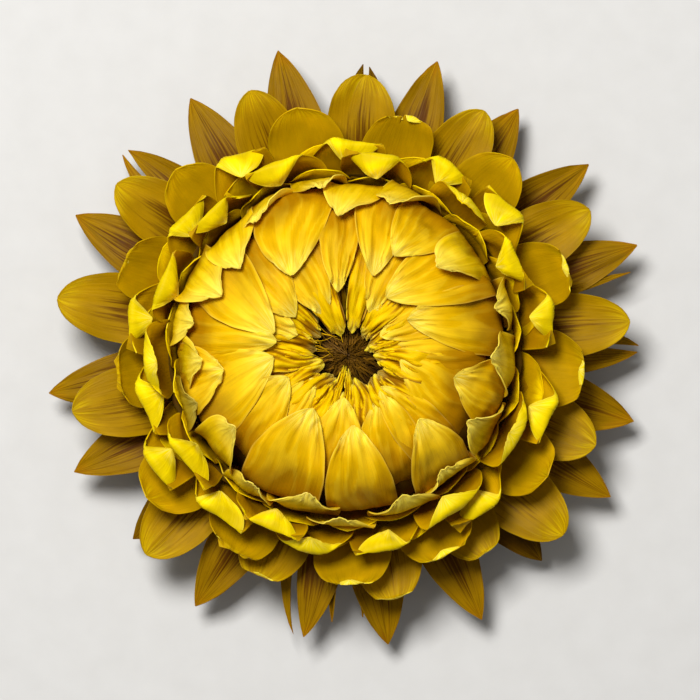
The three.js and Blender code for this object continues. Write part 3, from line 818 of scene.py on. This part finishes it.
def spun(name, section, steps, on_axis=False):
    """A section turned round the axis. Section points are (distance from the axis, height), and
    on_axis says that the section starts and ends on it."""
    deselect_all()
    bpy.ops.mesh.primitive_circle_add(vertices=len(section), radius=MM, fill_type="NOTHING")
    piece = bpy.context.object
    for vertex, (r, z) in zip(piece.data.vertices, section):
        vertex.co = (r * MM, 0, z * MM)
    bpy.ops.object.mode_set(mode="EDIT")
    bpy.ops.mesh.select_all(action="SELECT")
    bpy.ops.mesh.spin(steps=steps, angle=2 * math.pi, center=(0, 0, 0), axis=(0, 0, 1))
    bpy.ops.mesh.select_all(action="SELECT")
    bpy.ops.mesh.remove_doubles(threshold=MERGE_WITHIN * MM)
    if on_axis:
        bpy.ops.mesh.delete_loose(use_verts=True, use_edges=True, use_faces=False)
        bpy.ops.mesh.select_all(action="SELECT")
    bpy.ops.mesh.normals_make_consistent(inside=False)
    bpy.ops.object.mode_set(mode="OBJECT")
    piece.name = piece.data.name = name
    return piece


def rounded(points, cuts):
    """The same section with its corners eased: more points, on smooth lines between the given ones."""
    eased = []
    for i in range(len(points) - 1):
        for k in range(cuts):
            spot = on_curve(points, i, k / cuts)
            eased.append((max(0.0, spot.x), spot.y))
    return eased + [points[-1]]


def fluted(piece, ribs, depth, from_level=0.0):
    """Presses lengthways ribs into a turned piece, above a level, so that it reads as grown bases."""
    for vertex in piece.data.vertices:
        spot = vertex.co / MM
        around = math.atan2(spot.y, spot.x)
        rib = abs(math.sin(ribs * around / 2 + 0.4 * math.sin(3 * around)))
        grain = noise_at(9 * math.cos(around), 9 * math.sin(around), 0.3 * spot.z)
        above = smooth((spot.z - from_level) / 0.5)
        shrink = 1 - depth * (1 - rib + 0.5 * grain) * above / max(1.0, spot.xy.length)
        vertex.co.x *= shrink
        vertex.co.y *= shrink


def grown_bases(name, section, ribs, from_level, ease, segments):
    """A turned layer of bract bases, ribbed above a level, with its corners eased by a width in mm."""
    layer = spun(name, section, TURN_STEPS)
    fluted(layer, ribs, BASE_RIB_DEPTH, from_level)
    apply_modifier(
        layer, "BEVEL", width=ease * MM, segments=segments, limit_method="ANGLE", angle_limit=EASED_CORNER,
    )
    smooth_faces(layer)
    return layer


def spike_blank(sides, cuts, root, tip):
    """A closed tapered spike, 1 long on Z, whose widths are in mm. It is bent into florets and hairs."""
    deselect_all()
    bpy.ops.mesh.primitive_circle_add(vertices=sides, radius=root * MM, fill_type="NGON")
    spike = bpy.context.object
    bpy.ops.object.mode_set(mode="EDIT")
    bpy.ops.mesh.select_mode(type="FACE")
    bpy.ops.mesh.select_all(action="SELECT")
    share = (tip / root) ** (1 / cuts)
    for _ in range(cuts):
        bpy.ops.mesh.extrude_region_move(TRANSFORM_OT_translate={"value": (0, 0, 1 / cuts)})
        bpy.ops.transform.resize(value=(share, share, 1))
    bpy.ops.mesh.select_all(action="SELECT")
    bpy.ops.mesh.normals_make_consistent(inside=False)
    bpy.ops.object.mode_set(mode="OBJECT")
    return spike


def strew(blank, name, stalks):
    """Copies a spike on to every stalk, a (root, pull, tip, width) bow, and joins the copies."""
    laid = []
    for index, (root, pull, tip, width) in enumerate(stalks):
        piece = copy_of(blank)
        for vertex in piece.data.vertices:
            t = vertex.co.z
            middle = (1 - t) ** 2 * root + 2 * t * (1 - t) * pull + t ** 2 * tip
            along = ((1 - t) * (pull - root) + t * (tip - pull)).normalized()
            side = along.cross(ASKEW).normalized()
            across = along.cross(side)
            vertex.co = middle * MM + width * (side * vertex.co.x + across * vertex.co.y)
        mark(piece.data, "seed", [0.5 + 0.5 * wobble(index, 12)] * len(piece.data.vertices))
        laid.append(piece)
    bpy.data.objects.remove(blank)
    joined = join_pieces(laid, name)
    smooth_faces(joined)
    return joined


def by_mouth(away, turn, level):
    """The place at a distance and an angle from the middle of the mouth, at a level, in mm."""
    return Vector((away * math.cos(turn) + MOUTH_X, away * math.sin(turn) + MOUTH_Y, level))


class Finish:
    """One procedural material, and short calls that add and link its nodes."""

    def __init__(self, name):
        self.material = bpy.data.materials.new(name)
        self.material.use_nodes = True
        self.nodes = self.material.node_tree.nodes
        self.links = self.material.node_tree.links
        self.nodes.clear()

    def add(self, kind, inputs=(), **settings):
        node = self.nodes.new(kind)
        for key, value in settings.items():
            setattr(node, key, value)
        for key, value in dict(inputs).items():
            self.feed(node.inputs[key], value)
        return node

    def feed(self, socket, value):
        if isinstance(value, bpy.types.NodeSocket):
            self.links.new(value, socket)
        else:
            socket.default_value = value

    def maths(self, operation, *values):
        node = self.add("ShaderNodeMath", operation=operation)
        for socket, value in zip(node.inputs, values):
            self.feed(socket, value)
        return node.outputs[0]

    def times(self, first, second):
        return self.maths("MULTIPLY", first, second)

    def scaled(self, value, factor, offset):
        return self.maths("MULTIPLY_ADD", value, factor, offset)

    def between(self, value, low, high):
        """0 below low, 1 above high, and smooth between."""
        node = self.add("ShaderNodeMapRange", interpolation_type="SMOOTHSTEP")
        for key, given in {"Value": value, "From Min": low, "From Max": high}.items():
            self.feed(node.inputs[key], given)
        return node.outputs[0]

    def mix(self, share, first, second):
        node = self.add("ShaderNodeMix", data_type="RGBA", blend_type="MIX")
        for index, value in ((0, share), (6, first), (7, second)):
            self.feed(node.inputs[index], value)
        return node.outputs[2]

    def noise(self, place, scale=1.0, detail=2.0, roughness=0.5):
        node = self.add("ShaderNodeTexNoise", {
            "Vector": place, "Scale": scale, "Detail": detail, "Roughness": roughness,
        })
        return node.outputs["Fac"]

    def place(self, x, y, z):
        return self.add("ShaderNodeCombineXYZ", {"X": x, "Y": y, "Z": z}).outputs[0]

    def object_place(self):
        """The place in the piece, and its three parts."""
        spot = self.add("ShaderNodeTexCoord").outputs["Object"]
        return spot, self.add("ShaderNodeSeparateXYZ", {"Vector": spot}).outputs

    def mark(self, name):
        return self.add("ShaderNodeAttribute", attribute_name=f"bract_{name}").outputs["Fac"]

    def shaded(self, colour, value):
        return self.add("ShaderNodeHueSaturation", {"Color": colour, "Value": value}).outputs[0]

    def finish(self, colour, roughness, height, depth, specular, glow=0.0):
        """Links the surface. Depth is the bump's in metres, and glow the share of light let through."""
        bump = self.add("ShaderNodeBump", {"Height": height, "Distance": depth, "Strength": 1.0})
        skin = self.add("ShaderNodeBsdfPrincipled", {
            "Base Color": colour, "Roughness": roughness, "Normal": bump.outputs[0],
            "Specular IOR Level": specular,
        })
        surface = skin.outputs[0]
        if glow:
            through = self.add("ShaderNodeBsdfTranslucent", {"Color": colour})
            mixed = self.add("ShaderNodeMixShader")
            mixed.inputs[0].default_value = glow
            self.links.new(surface, mixed.inputs[1])
            self.links.new(through.outputs[0], mixed.inputs[2])
            surface = mixed.outputs[0]
        output = self.add("ShaderNodeOutputMaterial")
        self.links.new(surface, output.inputs["Surface"])
        return self.material


def papery(name, root, body, tip, vein, highlight_colour, vein_share, run, folds=0.0, stain=None, stain_reach=0.5):
    """A papery bract: colour runs from root to tip between the four places in `run`, with lengthways
    fibres, a painted highlight on the margins and on ridges near the tip and, on some, a stain that spreads
    from the base. On the dome's bracts the dark root and bright tip are partly painted shade and light.
    With `folds`, hollows take the root's colour as painted shade and crests the tip's as a painted
    highlight."""
    made = Finish(name)
    uv = made.add("ShaderNodeUVMap", uv_map="UVMap")
    split = made.add("ShaderNodeSeparateXYZ", {"Vector": uv.outputs[0]})
    across, along = split.outputs["X"], split.outputs["Y"]
    tone = made.mark("tone")
    hollow = made.mark("hollow")
    seeded = made.times(made.mark("seed"), SEED_SPREAD)

    def grain(scales, **settings):
        place = made.place(made.times(across, scales[0]), made.times(along, scales[1]), seeded)
        return made.noise(place, **settings)

    off_middle = made.maths("ABSOLUTE", made.scaled(across, 2.0, -1.0))
    fibres = grain(FIBRE_SCALES, detail=4, roughness=0.6)
    fine = grain(FINE_SCALES, detail=2)
    patches = grain(PATCH_SCALES, detail=3)
    way = made.maths("ADD", along, made.scaled(patches, 0.4, -0.2))
    low = made.mix(made.between(way, run[0], run[1]), root, body)
    colour = made.mix(made.between(way, run[2], run[3]), low, tip)
    veins = made.times(made.between(fibres, 0.47, 0.68), vein_share)
    colour = made.mix(made.times(veins, made.maths("SUBTRACT", 1.2, along)), colour, vein)
    colour = made.mix(made.times(made.between(fine, 0.5, 0.75), 0.45 * vein_share), colour, vein)
    # Painted highlight on the crests of folds toward the tip, in the tip's colour, and painted shade in
    # their hollows, in the root's colour.
    crest = made.between(hollow, 0.3, 0.0)
    colour = made.mix(made.times(made.times(crest, along), 0.8 * folds), colour, tip)
    colour = made.mix(made.times(hollow, folds), colour, root)
    if stain:
        spread = made.maths("SUBTRACT", stain_reach, made.times(off_middle, 0.5 * stain_reach))
        reached = made.maths("ADD", spread, made.scaled(fibres, 1.1, -0.55))
        stained = made.between(made.maths("SUBTRACT", reached, along), -0.06, 0.25)
        colour = made.mix(made.times(stained, 0.8), colour, stain)
    # A low tone pulls a bract toward its root colour and lowers its value: painted shade on bracts that lie
    # low or deep.
    colour = made.mix(made.times(made.between(tone, 1.0, 0.4), 0.75), colour, root)
    # Painted highlight on the ridges near the tip.
    ridge_highlight = made.times(made.between(fibres, 0.56, 0.36), made.between(along, 0.72, 0.97))
    colour = made.mix(made.times(ridge_highlight, 0.7), colour, highlight_colour)
    # Painted highlight along the margins and at the very tip.
    edge = made.maths("MAXIMUM", made.between(off_middle, 0.94, 1.0), made.between(along, 0.985, 1.0))
    colour = made.mix(made.times(edge, 0.12), colour, highlight_colour)
    colour = made.shaded(colour, made.times(tone, made.scaled(patches, 0.55, 0.74)))
    height = made.maths("ADD", fibres, made.times(fine, 0.4))
    return made.finish(colour, made.scaled(patches, 0.25, 0.3), height, 0.07 * MM, 0.05, LIGHT_THROUGH)


def fibrous(name, dark, body, pale, scale, specular=0.04):
    """Dry plant matter with a lengthways grain on Object coordinates, darker in its hollows."""
    made = Finish(name)
    spot, (x, y, z) = made.object_place()
    around = made.maths("ARCTAN2", y, x)
    ring_x = made.times(made.maths("COSINE", around), scale)
    ring_y = made.times(made.maths("SINE", around), scale)
    grain = made.noise(made.place(ring_x, ring_y, made.times(z, 220.0)), detail=5, roughness=0.65)
    blotches = made.noise(spot, scale=260, detail=3)
    colour = made.mix(made.between(grain, 0.3, 0.55), dark, body)
    colour = made.mix(made.times(made.between(grain, 0.58, 0.75), 0.7), colour, pale)
    colour = made.mix(made.times(made.between(blotches, 0.45, 0.75), 0.4), colour, dark)
    return made.finish(colour, made.scaled(blotches, 0.2, 0.6), grain, 0.12 * MM, specular)


def bristly(name, root, body, tip):
    """Florets and hairs: darker at the foot, each a little different, with a fine grain."""
    made = Finish(name)
    spot, (_, _, level) = made.object_place()
    grain = made.noise(spot, scale=2600, detail=3)
    up = made.maths("ADD", level, made.scaled(grain, 1.2 * MM, -0.6 * MM))
    colour = made.mix(made.between(up, 14.8 * MM, 17.2 * MM), root, body)
    colour = made.mix(made.between(up, 17.2 * MM, 19.2 * MM), colour, tip)
    colour = made.shaded(colour, made.scaled(made.mark("seed"), 0.7, 0.6))
    return made.finish(colour, 0.6, grain, 0.05 * MM, 0.2)


def palette(context):
    """Gives ink, which takes a colour's name, or two names and the share of the second in the first."""
    group = context.scene.strawflower_colours
    colours = {key: (*getattr(group, key), 1.0) for key in HeadColours.__annotations__}
    colours.update(white=(1, 1, 1, 1), black=(0, 0, 0, 1))

    def ink(first, other=None, share=0.0):
        return tuple(a + (b - a) * share for a, b in zip(colours[first], colours[other or first]))

    return ink


def sunny_back(ink):
    """The outer side of the ray and collar bracts, bright yellow where a tip folds over and shows it, with
    a painted highlight on its margins and ridges.
    """
    return papery(
        "bract_back", ink("olive"), ink("olive", "sun", 0.6), ink("sun"), ink("gold", "olive", 0.5),
        ink("painted_highlight"), vein_share=0.3, run=(0.3, 0.6, 0.62, 0.85),
    )


def dress(piece, node, slot, *materials):
    """Gives a finished piece its materials and body, and hides the node that it stands for. Its slot is not
    used.
    """
    for material in materials:
        piece.data.materials.append(material)
    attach(piece, BODY)
    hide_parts(node)


def dress_row(context, row, node, slot, face, back=None):
    dress(make_row(row, context.scene.strawflower_sizes.sheet, face, back), node, slot)


class STRAWFLOWER_OT_stage(bpy.types.Operator):
    """Add the plain floor, one soft light and the camera straight above the head"""
    bl_idname = "strawflower.stage"
    bl_label = "Stage"

    def execute(self, context):
        deselect_all()
        bpy.ops.mesh.primitive_plane_add(size=FLOOR_SIZE)
        floor = context.object
        floor.name = "floor"
        plain = Finish("plain_floor")
        grain = plain.noise(plain.add("ShaderNodeTexCoord").outputs["Object"], scale=300, detail=4)
        ink = palette(context)
        tint = plain.mix(grain, ink("floor"), ink("floor", "white", 0.1))
        floor.data.materials.append(plain.finish(tint, 0.9, grain, 0.02 * MM, 0.1))
        world = bpy.data.worlds.new("soft_room")
        context.scene.world = world
        world.use_nodes = True
        room = world.node_tree.nodes["Background"].inputs
        room["Color"].default_value = (1, 1, 1, 1)
        room["Strength"].default_value = ROOM_STRENGTH
        self.add_light(context)
        self.add_camera(context)
        context.scene.view_settings.view_transform = "Standard"
        return {"FINISHED"}

    def add_light(self, context):
        lamp = bpy.data.lights.new("key_light", "AREA")
        lamp.size = LIGHT_SIZE
        lamp.energy = LIGHT_POWER
        light = bpy.data.objects.new("key_light", lamp)
        context.collection.objects.link(light)
        light.location = LIGHT_PLACE
        aim = Vector((0, 0, 0.01)) - Vector(LIGHT_PLACE)
        light.rotation_euler = aim.to_track_quat("-Z", "Y").to_euler()

    def add_camera(self, context):
        """The photo's frame, straight from above, with the head where the photo has it."""
        lens = bpy.data.cameras.new("camera")
        lens.sensor_width = SENSOR_WIDTH
        lens.lens = SENSOR_WIDTH * CAMERA_AWAY / (PHOTO_WIDTH * MM_PER_PIXEL * MM)
        lens.clip_end = 10
        camera = bpy.data.objects.new("camera", lens)
        context.collection.objects.link(camera)
        half_frame = PHOTO_WIDTH / 2
        camera.location = (
            (half_frame - HEAD_MIDDLE_PIXEL[0]) * MM_PER_PIXEL * MM,
            (HEAD_MIDDLE_PIXEL[1] - half_frame) * MM_PER_PIXEL * MM,
            CAMERA_AWAY + OUTER_BRACT_LEVEL * MM,
        )
        context.scene.camera = camera


class STRAWFLOWER_OT_stem(bpy.types.Operator):
    """Model the cut stem with its pith, and the woody disc that everything grows from"""
    bl_idname = "strawflower.stem"
    bl_label = "Cut stem"

    def execute(self, context):
        stem = spun("cut_stem", rounded(STEM_SECTION, cuts=2), TURN_STEPS, on_axis=True)
        for vertex in stem.data.vertices:
            x, y = vertex.co.x / MM, vertex.co.y / MM
            near_stem = 1 - smooth((math.hypot(x, y) - STEM_RADIUS) / STEM_FLARE)
            groove = STEM_RIB_DEPTH * (0.5 + 0.5 * math.cos(STEM_RIBS * math.atan2(y, x)))
            scale = 1 - near_stem * groove / STEM_RADIUS
            vertex.co.x *= scale
            vertex.co.y *= scale
        smooth_faces(stem, degrees=40)
        dress(stem, "cut_stem_and_receptacle", "dry_stem", self.stem_finish(palette(context)))
        return {"FINISHED"}

    def stem_finish(self, ink):
        """Ribbed straw colour outside, and at the cut a pale pith inside a darker fibrous ring."""
        made = Finish("dry_stem")
        spot, (x, y, z) = made.object_place()
        flat = made.place(x, y, 0.0)
        away = made.add("ShaderNodeVectorMath", {0: flat}, operation="LENGTH").outputs["Value"]
        pores = made.add("ShaderNodeTexVoronoi", {"Vector": flat, "Scale": 4200.0}).outputs["Distance"]
        grain = made.noise(spot, scale=1500, detail=4)
        lengthways = made.place(made.times(x, 2600.0), made.times(y, 2600.0), made.times(z, 90.0))
        streaks = made.noise(lengthways, detail=3)
        bark = made.mix(made.between(streaks, 0.35, 0.65), ink("stem", "rust", 0.45), ink("stem"))
        pith = made.mix(made.between(pores, 0.1, 0.5), ink("stem", "rust", 0.3), ink("pith"))
        ring = made.mix(made.between(grain, 0.4, 0.6), ink("rust", "stem", 0.35), ink("stem", "pith", 0.3))
        ragged = made.maths("ADD", away, made.scaled(grain, 0.3 * MM, -0.15 * MM))
        off_pith = made.between(ragged, PITH_RADIUS * MM, (PITH_RADIUS + PITH_BLEND) * MM)
        cut_face = made.mix(off_pith, pith, ring)
        level = made.between(z, 0.03 * MM, 0.09 * MM)
        inside = made.between(away, 0.75 * MM, 0.8 * MM)
        colour = made.mix(made.times(level, inside), cut_face, bark)
        height = made.maths("ADD", made.times(pores, 0.6), streaks)
        return made.finish(colour, 0.75, height, 0.08 * MM, 0.15)


class STRAWFLOWER_OT_outer_bracts(bpy.types.Operator):
    """Model the scales on the underside and the outer row of pointed bracts"""
    bl_idname = "strawflower.outer_bracts"
    bl_label = "Outer bracts"

    def execute(self, context):
        ink = palette(context)
        dish = grown_bases("bract_dish", DISH_SECTION, ribs=40, from_level=0.2, ease=0.3, segments=3)
        base = fibrous("outer_base", ink("rust"), ink("amber", "rust", 0.4), ink("amber"), scale=14)
        dress(dish, "outer_bracts", "amber_bract", base)
        finish = papery(
            "amber_bract", ink("rust", "amber", 0.2), ink("amber", "olive", 0.4), ink("orange"),
            ink("rust"), ink("amber", "gold", 0.6), vein_share=0.7, run=(0.3, 0.65, 0.8, 1.05),
            stain=ink("rust"), stain_reach=0.8,
        )
        for row in (SCALES_LOW, SCALES_HIGH, OUTER_ROW):
            dress_row(context, row, "outer_bracts", "amber_bract", finish)
        return {"FINISHED"}


class STRAWFLOWER_OT_ray_bracts(bpy.types.Operator):
    """Model the two rows of rounded ray bracts, with the bowl that they grow from"""
    bl_idname = "strawflower.ray_bracts"
    bl_label = "Ray bracts"

    def execute(self, context):
        ink = palette(context)
        bowl = grown_bases("bract_bowl", BOWL_SECTION, ribs=36, from_level=0, ease=0.15, segments=2)
        root = ink("rust", "shade", 0.6)
        base = fibrous("ray_base", root, ink("shade"), ink("shade", "olive", 0.4), scale=14)
        dress(bowl, "ray_bracts", "olive_gold_bract", base)
        low = papery(
            "olive_bract", ink("rust", "olive", 0.5), ink("olive", "amber", 0.35), ink("olive"),
            ink("rust", "olive", 0.4), ink("olive", "sun", 0.5), vein_share=0.5, run=(0.3, 0.6, 0.65, 1.0),
            stain=ink("rust"), stain_reach=0.68,
        )
        high = papery(
            "olive_gold_bract", ink("olive", "orange", 0.5), ink("olive"), ink("olive", "gold", 0.35),
            ink("rust", "olive", 0.6), ink("olive", "sun", 0.6), vein_share=0.35, run=(0.3, 0.6, 0.65, 1.0),
        )
        back = sunny_back(ink)
        for row, finish in ((RAY_ROW_LOW, low), (RAY_ROW_HIGH, high)):
            dress_row(context, row, "ray_bracts", "olive_gold_bract", finish, back)
        return {"FINISHED"}


class STRAWFLOWER_OT_collar_bracts(bpy.types.Operator):
    """Model the two rows of upright bracts with folded tips, and the bracts under and behind them"""
    bl_idname = "strawflower.collar_bracts"
    bl_label = "Collar bracts"

    def execute(self, context):
        ink = palette(context)
        face = papery(
            "collar_face", ink("olive", "orange", 0.5), ink("olive", "gold", 0.3), ink("gold", "sun", 0.5),
            ink("orange", "olive", 0.5), ink("sun"), vein_share=0.25, run=(0.3, 0.6, 0.68, 0.95),
        )
        back = sunny_back(ink)
        for row in (UNDER_ROW, COLLAR_ROW_LOW, COLLAR_ROW_HIGH, COLLAR_LINING):
            dress_row(context, row, "ray_bracts", "olive_gold_bract", face, back)
        return {"FINISHED"}


class STRAWFLOWER_OT_dome_bracts(bpy.types.Operator):
    """Model the bracts that close over the dome, with the wall that they grow from"""
    bl_idname = "strawflower.dome_bracts"
    bl_label = "Dome bracts"

    def execute(self, context):
        ink = palette(context)
        vein = ink("orange", "gold", 0.25)
        # The petals' dark root and bright, pale tip are partly painted shade and painted light.
        petal = papery(
            "gold_bract", ink("orange", "gold", 0.3), ink("gold", "sun", 0.2), ink("sun", "painted_highlight", 0.2),
            vein, ink("painted_highlight"), vein_share=0.4, run=(0.3, 0.68, 0.62, 1.0), folds=0.28,
        )
        # The flaps' body is brightened toward the bright tips colour as painted light on tips that fold up
        # toward the lamp.
        flap = papery(
            "sunny_flap", ink("orange"), ink("gold", "sun", 0.5), ink("sun", "painted_highlight", 0.3),
            vein, ink("painted_highlight"), vein_share=0.3, run=(0.2, 0.5, 0.55, 0.85), folds=0.2,
        )
        # The creased bracts' strong folds paint deep shade into their hollows.
        crease = papery(
            "creased_bract", ink("orange", "rust", 0.4), ink("gold"), ink("sun"),
            vein, ink("painted_highlight"), vein_share=0.6, run=(-0.3, 0.1, 0.75, 1.0), folds=0.85,
        )
        base = fibrous("dome_base", ink("rust", "shade", 0.5), ink("shade"), ink("orange"), scale=16)
        dress(self.wall(), "dome_bracts", "gold_bract", base)
        for row, finish in (
            (SHOULDER_ROW_LOW, flap), (SHOULDER_ROW_HIGH, flap), (DOME_ROW_LOW, petal),
            (DOME_ROW_HIGH, petal), (MOUTH_ROW, crease), (CREASED_ROW, crease),
        ):
            dress_row(context, row, "dome_bracts", "gold_bract", finish)
        return {"FINISHED"}

    def wall(self):
        """The wall under the dome's bracts, sunk a little at its crest, with the mouth off the axis."""
        crest = []
        for degrees in range(0, WALL_END + 1, WALL_STEP):
            angle = math.radians(degrees)
            rise = DOME_RISE - WALL_SINK * smooth((degrees - 30) / 40)
            crest.append((DOME_RING + DOME_REACH * math.cos(angle), DOME_LEVEL + rise * math.sin(angle)))
        wall = spun("dome_wall", [*WALL_FOOT, *crest, *WALL_INSIDE], TURN_STEPS)
        fluted(wall, ribs=46, depth=0.35)
        for vertex in wall.data.vertices:
            vertex.co = shifted(vertex.co / MM) * MM
        smooth_faces(wall)
        return wall


class STRAWFLOWER_OT_disc_florets(bpy.types.Operator):
    """Model the florets that fill the dome, the bed that they stand on and the bristles between them"""
    bl_idname = "strawflower.disc_florets"
    bl_label = "Disc florets"

    def execute(self, context):
        ink = palette(context)
        bed = spun("floret_bed", FLORET_BED, steps=96, on_axis=True)
        fluted(bed, ribs=90, depth=0.2)
        smooth_faces(bed)
        dark = ink("floret", "black", 0.7)
        base = fibrous("floret_bed", dark, ink("floret"), ink("floret"), scale=40, specular=0.1)
        dress(bed, "disc_florets", "floret", base)
        finish = bristly("floret", dark, ink("floret"), ink("floret", "amber", 0.7))
        count = context.scene.strawflower_sizes.florets
        spots = [(FLORET_SPACING * math.sqrt(i + 0.5), i * GOLDEN_ANGLE) for i in range(count)]
        stalks = self.stalks(
            spots, FLORET_LEVEL, height=(2.6, 0.5), gathered=(0.45, 0.12), twist=0.25, pull=(0.95, 0.6),
            width=0.3,
        )
        blank = spike_blank(sides=6, cuts=4, root=0.2, tip=0.09)
        dress(strew(blank, "disc_florets", stalks), "disc_florets", "floret", finish)
        count *= 2
        spots = [(BRISTLE_REACH * math.sqrt((i + 0.5) / count), i * GOLDEN_ANGLE + 1) for i in range(count)]
        stalks = self.stalks(
            spots, FLORET_LEVEL + 0.5, height=(2.7, 0.6), gathered=(0.3, 0.25), twist=0.5, pull=(1, 0.7),
            width=0,
        )
        blank = spike_blank(sides=3, cuts=3, root=0.035, tip=0.012)
        dress(strew(blank, "floret_bristles", stalks), "disc_florets", "floret", finish)
        return {"FINISHED"}

    def stalks(self, spots, level, height, gathered, twist, pull, width):
        """Bows that rise from (distance, angle) spots round the mouth and lean to its middle. Height and
        gathered are a mean and how far each varies, twist and width are how far, and pull is where the
        bow's middle is drawn to, as shares of the distance and the height."""
        for i, (away, turn) in enumerate(spots):
            root = by_mouth(away, turn, level + BED_RISE * away ** 2)
            tall = height[0] + height[1] * wobble(i, 6)
            inner = (gathered[0] + gathered[1] * wobble(i, 7)) * away
            tip = by_mouth(inner, turn + twist * wobble(i, 8), root.z + tall)
            drawn = by_mouth(pull[0] * away, turn, root.z + pull[1] * tall)
            yield root, drawn, tip, 1 + width * wobble(i, 10)


class STRAWFLOWER_OT_mouth_threads(bpy.types.Operator):
    """Model the frayed threads that curl round the edge of the mouth"""
    bl_idname = "strawflower.mouth_threads"
    bl_label = "Mouth threads"

    def execute(self, context):
        ink = palette(context)
        finish = bristly("frayed_thread", ink("orange"), ink("orange", "gold", 0.5), ink("gold"))
        blank = spike_blank(sides=4, cuts=8, root=0.07, tip=0.02)
        threads = strew(blank, "mouth_threads", self.thread_stalks())
        dress(threads, "dome_bracts", "gold_bract", finish)
        return {"FINISHED"}

    def thread_stalks(self):
        for i in range(THREADS):
            turn = math.radians(THREAD_SIDE + THREAD_SPREAD * wobble(i, 1))
            root = by_mouth(4.6 + 0.9 * wobble(i, 2), turn, 19.4 + 0.3 * wobble(i, 3))
            tip = by_mouth(2.3 + 0.9 * wobble(i, 5), turn + 0.35 * wobble(i, 4), 18.9 + 0.5 * wobble(i, 6))
            pull = by_mouth(3.8, turn + 0.35 * wobble(i, 7), 20.4 + 0.5 * wobble(i, 8))
            yield root, pull, tip, 1.0 + 0.4 * wobble(i, 9)


class STRAWFLOWER_PT_panel(bpy.types.Panel):
    """The steps that build the head, in order"""
    bl_label = "Strawflower head"
    bl_idname = "STRAWFLOWER_PT_panel"
    bl_space_type = "VIEW_3D"
    bl_region_type = "UI"
    bl_category = "Strawflower"

    def draw(self, context):
        for group in (context.scene.strawflower_sizes, context.scene.strawflower_colours):
            for key in group.__annotations__:
                self.layout.prop(group, key)
        for operator in OPERATORS:
            self.layout.operator(operator.bl_idname)


OPERATORS = (
    STRAWFLOWER_OT_stage,
    STRAWFLOWER_OT_stem,
    STRAWFLOWER_OT_outer_bracts,
    STRAWFLOWER_OT_ray_bracts,
    STRAWFLOWER_OT_collar_bracts,
    STRAWFLOWER_OT_dome_bracts,
    STRAWFLOWER_OT_disc_florets,
    STRAWFLOWER_OT_mouth_threads,
)
CLASSES = (HeadSizes, HeadColours, *OPERATORS, STRAWFLOWER_PT_panel)


def register():
    for each in CLASSES:
        bpy.utils.register_class(each)
    bpy.types.Scene.strawflower_sizes = bpy.props.PointerProperty(type=HeadSizes)
    bpy.types.Scene.strawflower_colours = bpy.props.PointerProperty(type=HeadColours)


def unregister():
    del bpy.types.Scene.strawflower_sizes
    del bpy.types.Scene.strawflower_colours
    for each in reversed(CLASSES):
        bpy.utils.unregister_class(each)


def main():
    register()
    for operator in OPERATORS:
        group, name = operator.bl_idname.split(".")
        getattr(getattr(bpy.ops, group), name)()


if __name__ == "__main__":
    main()
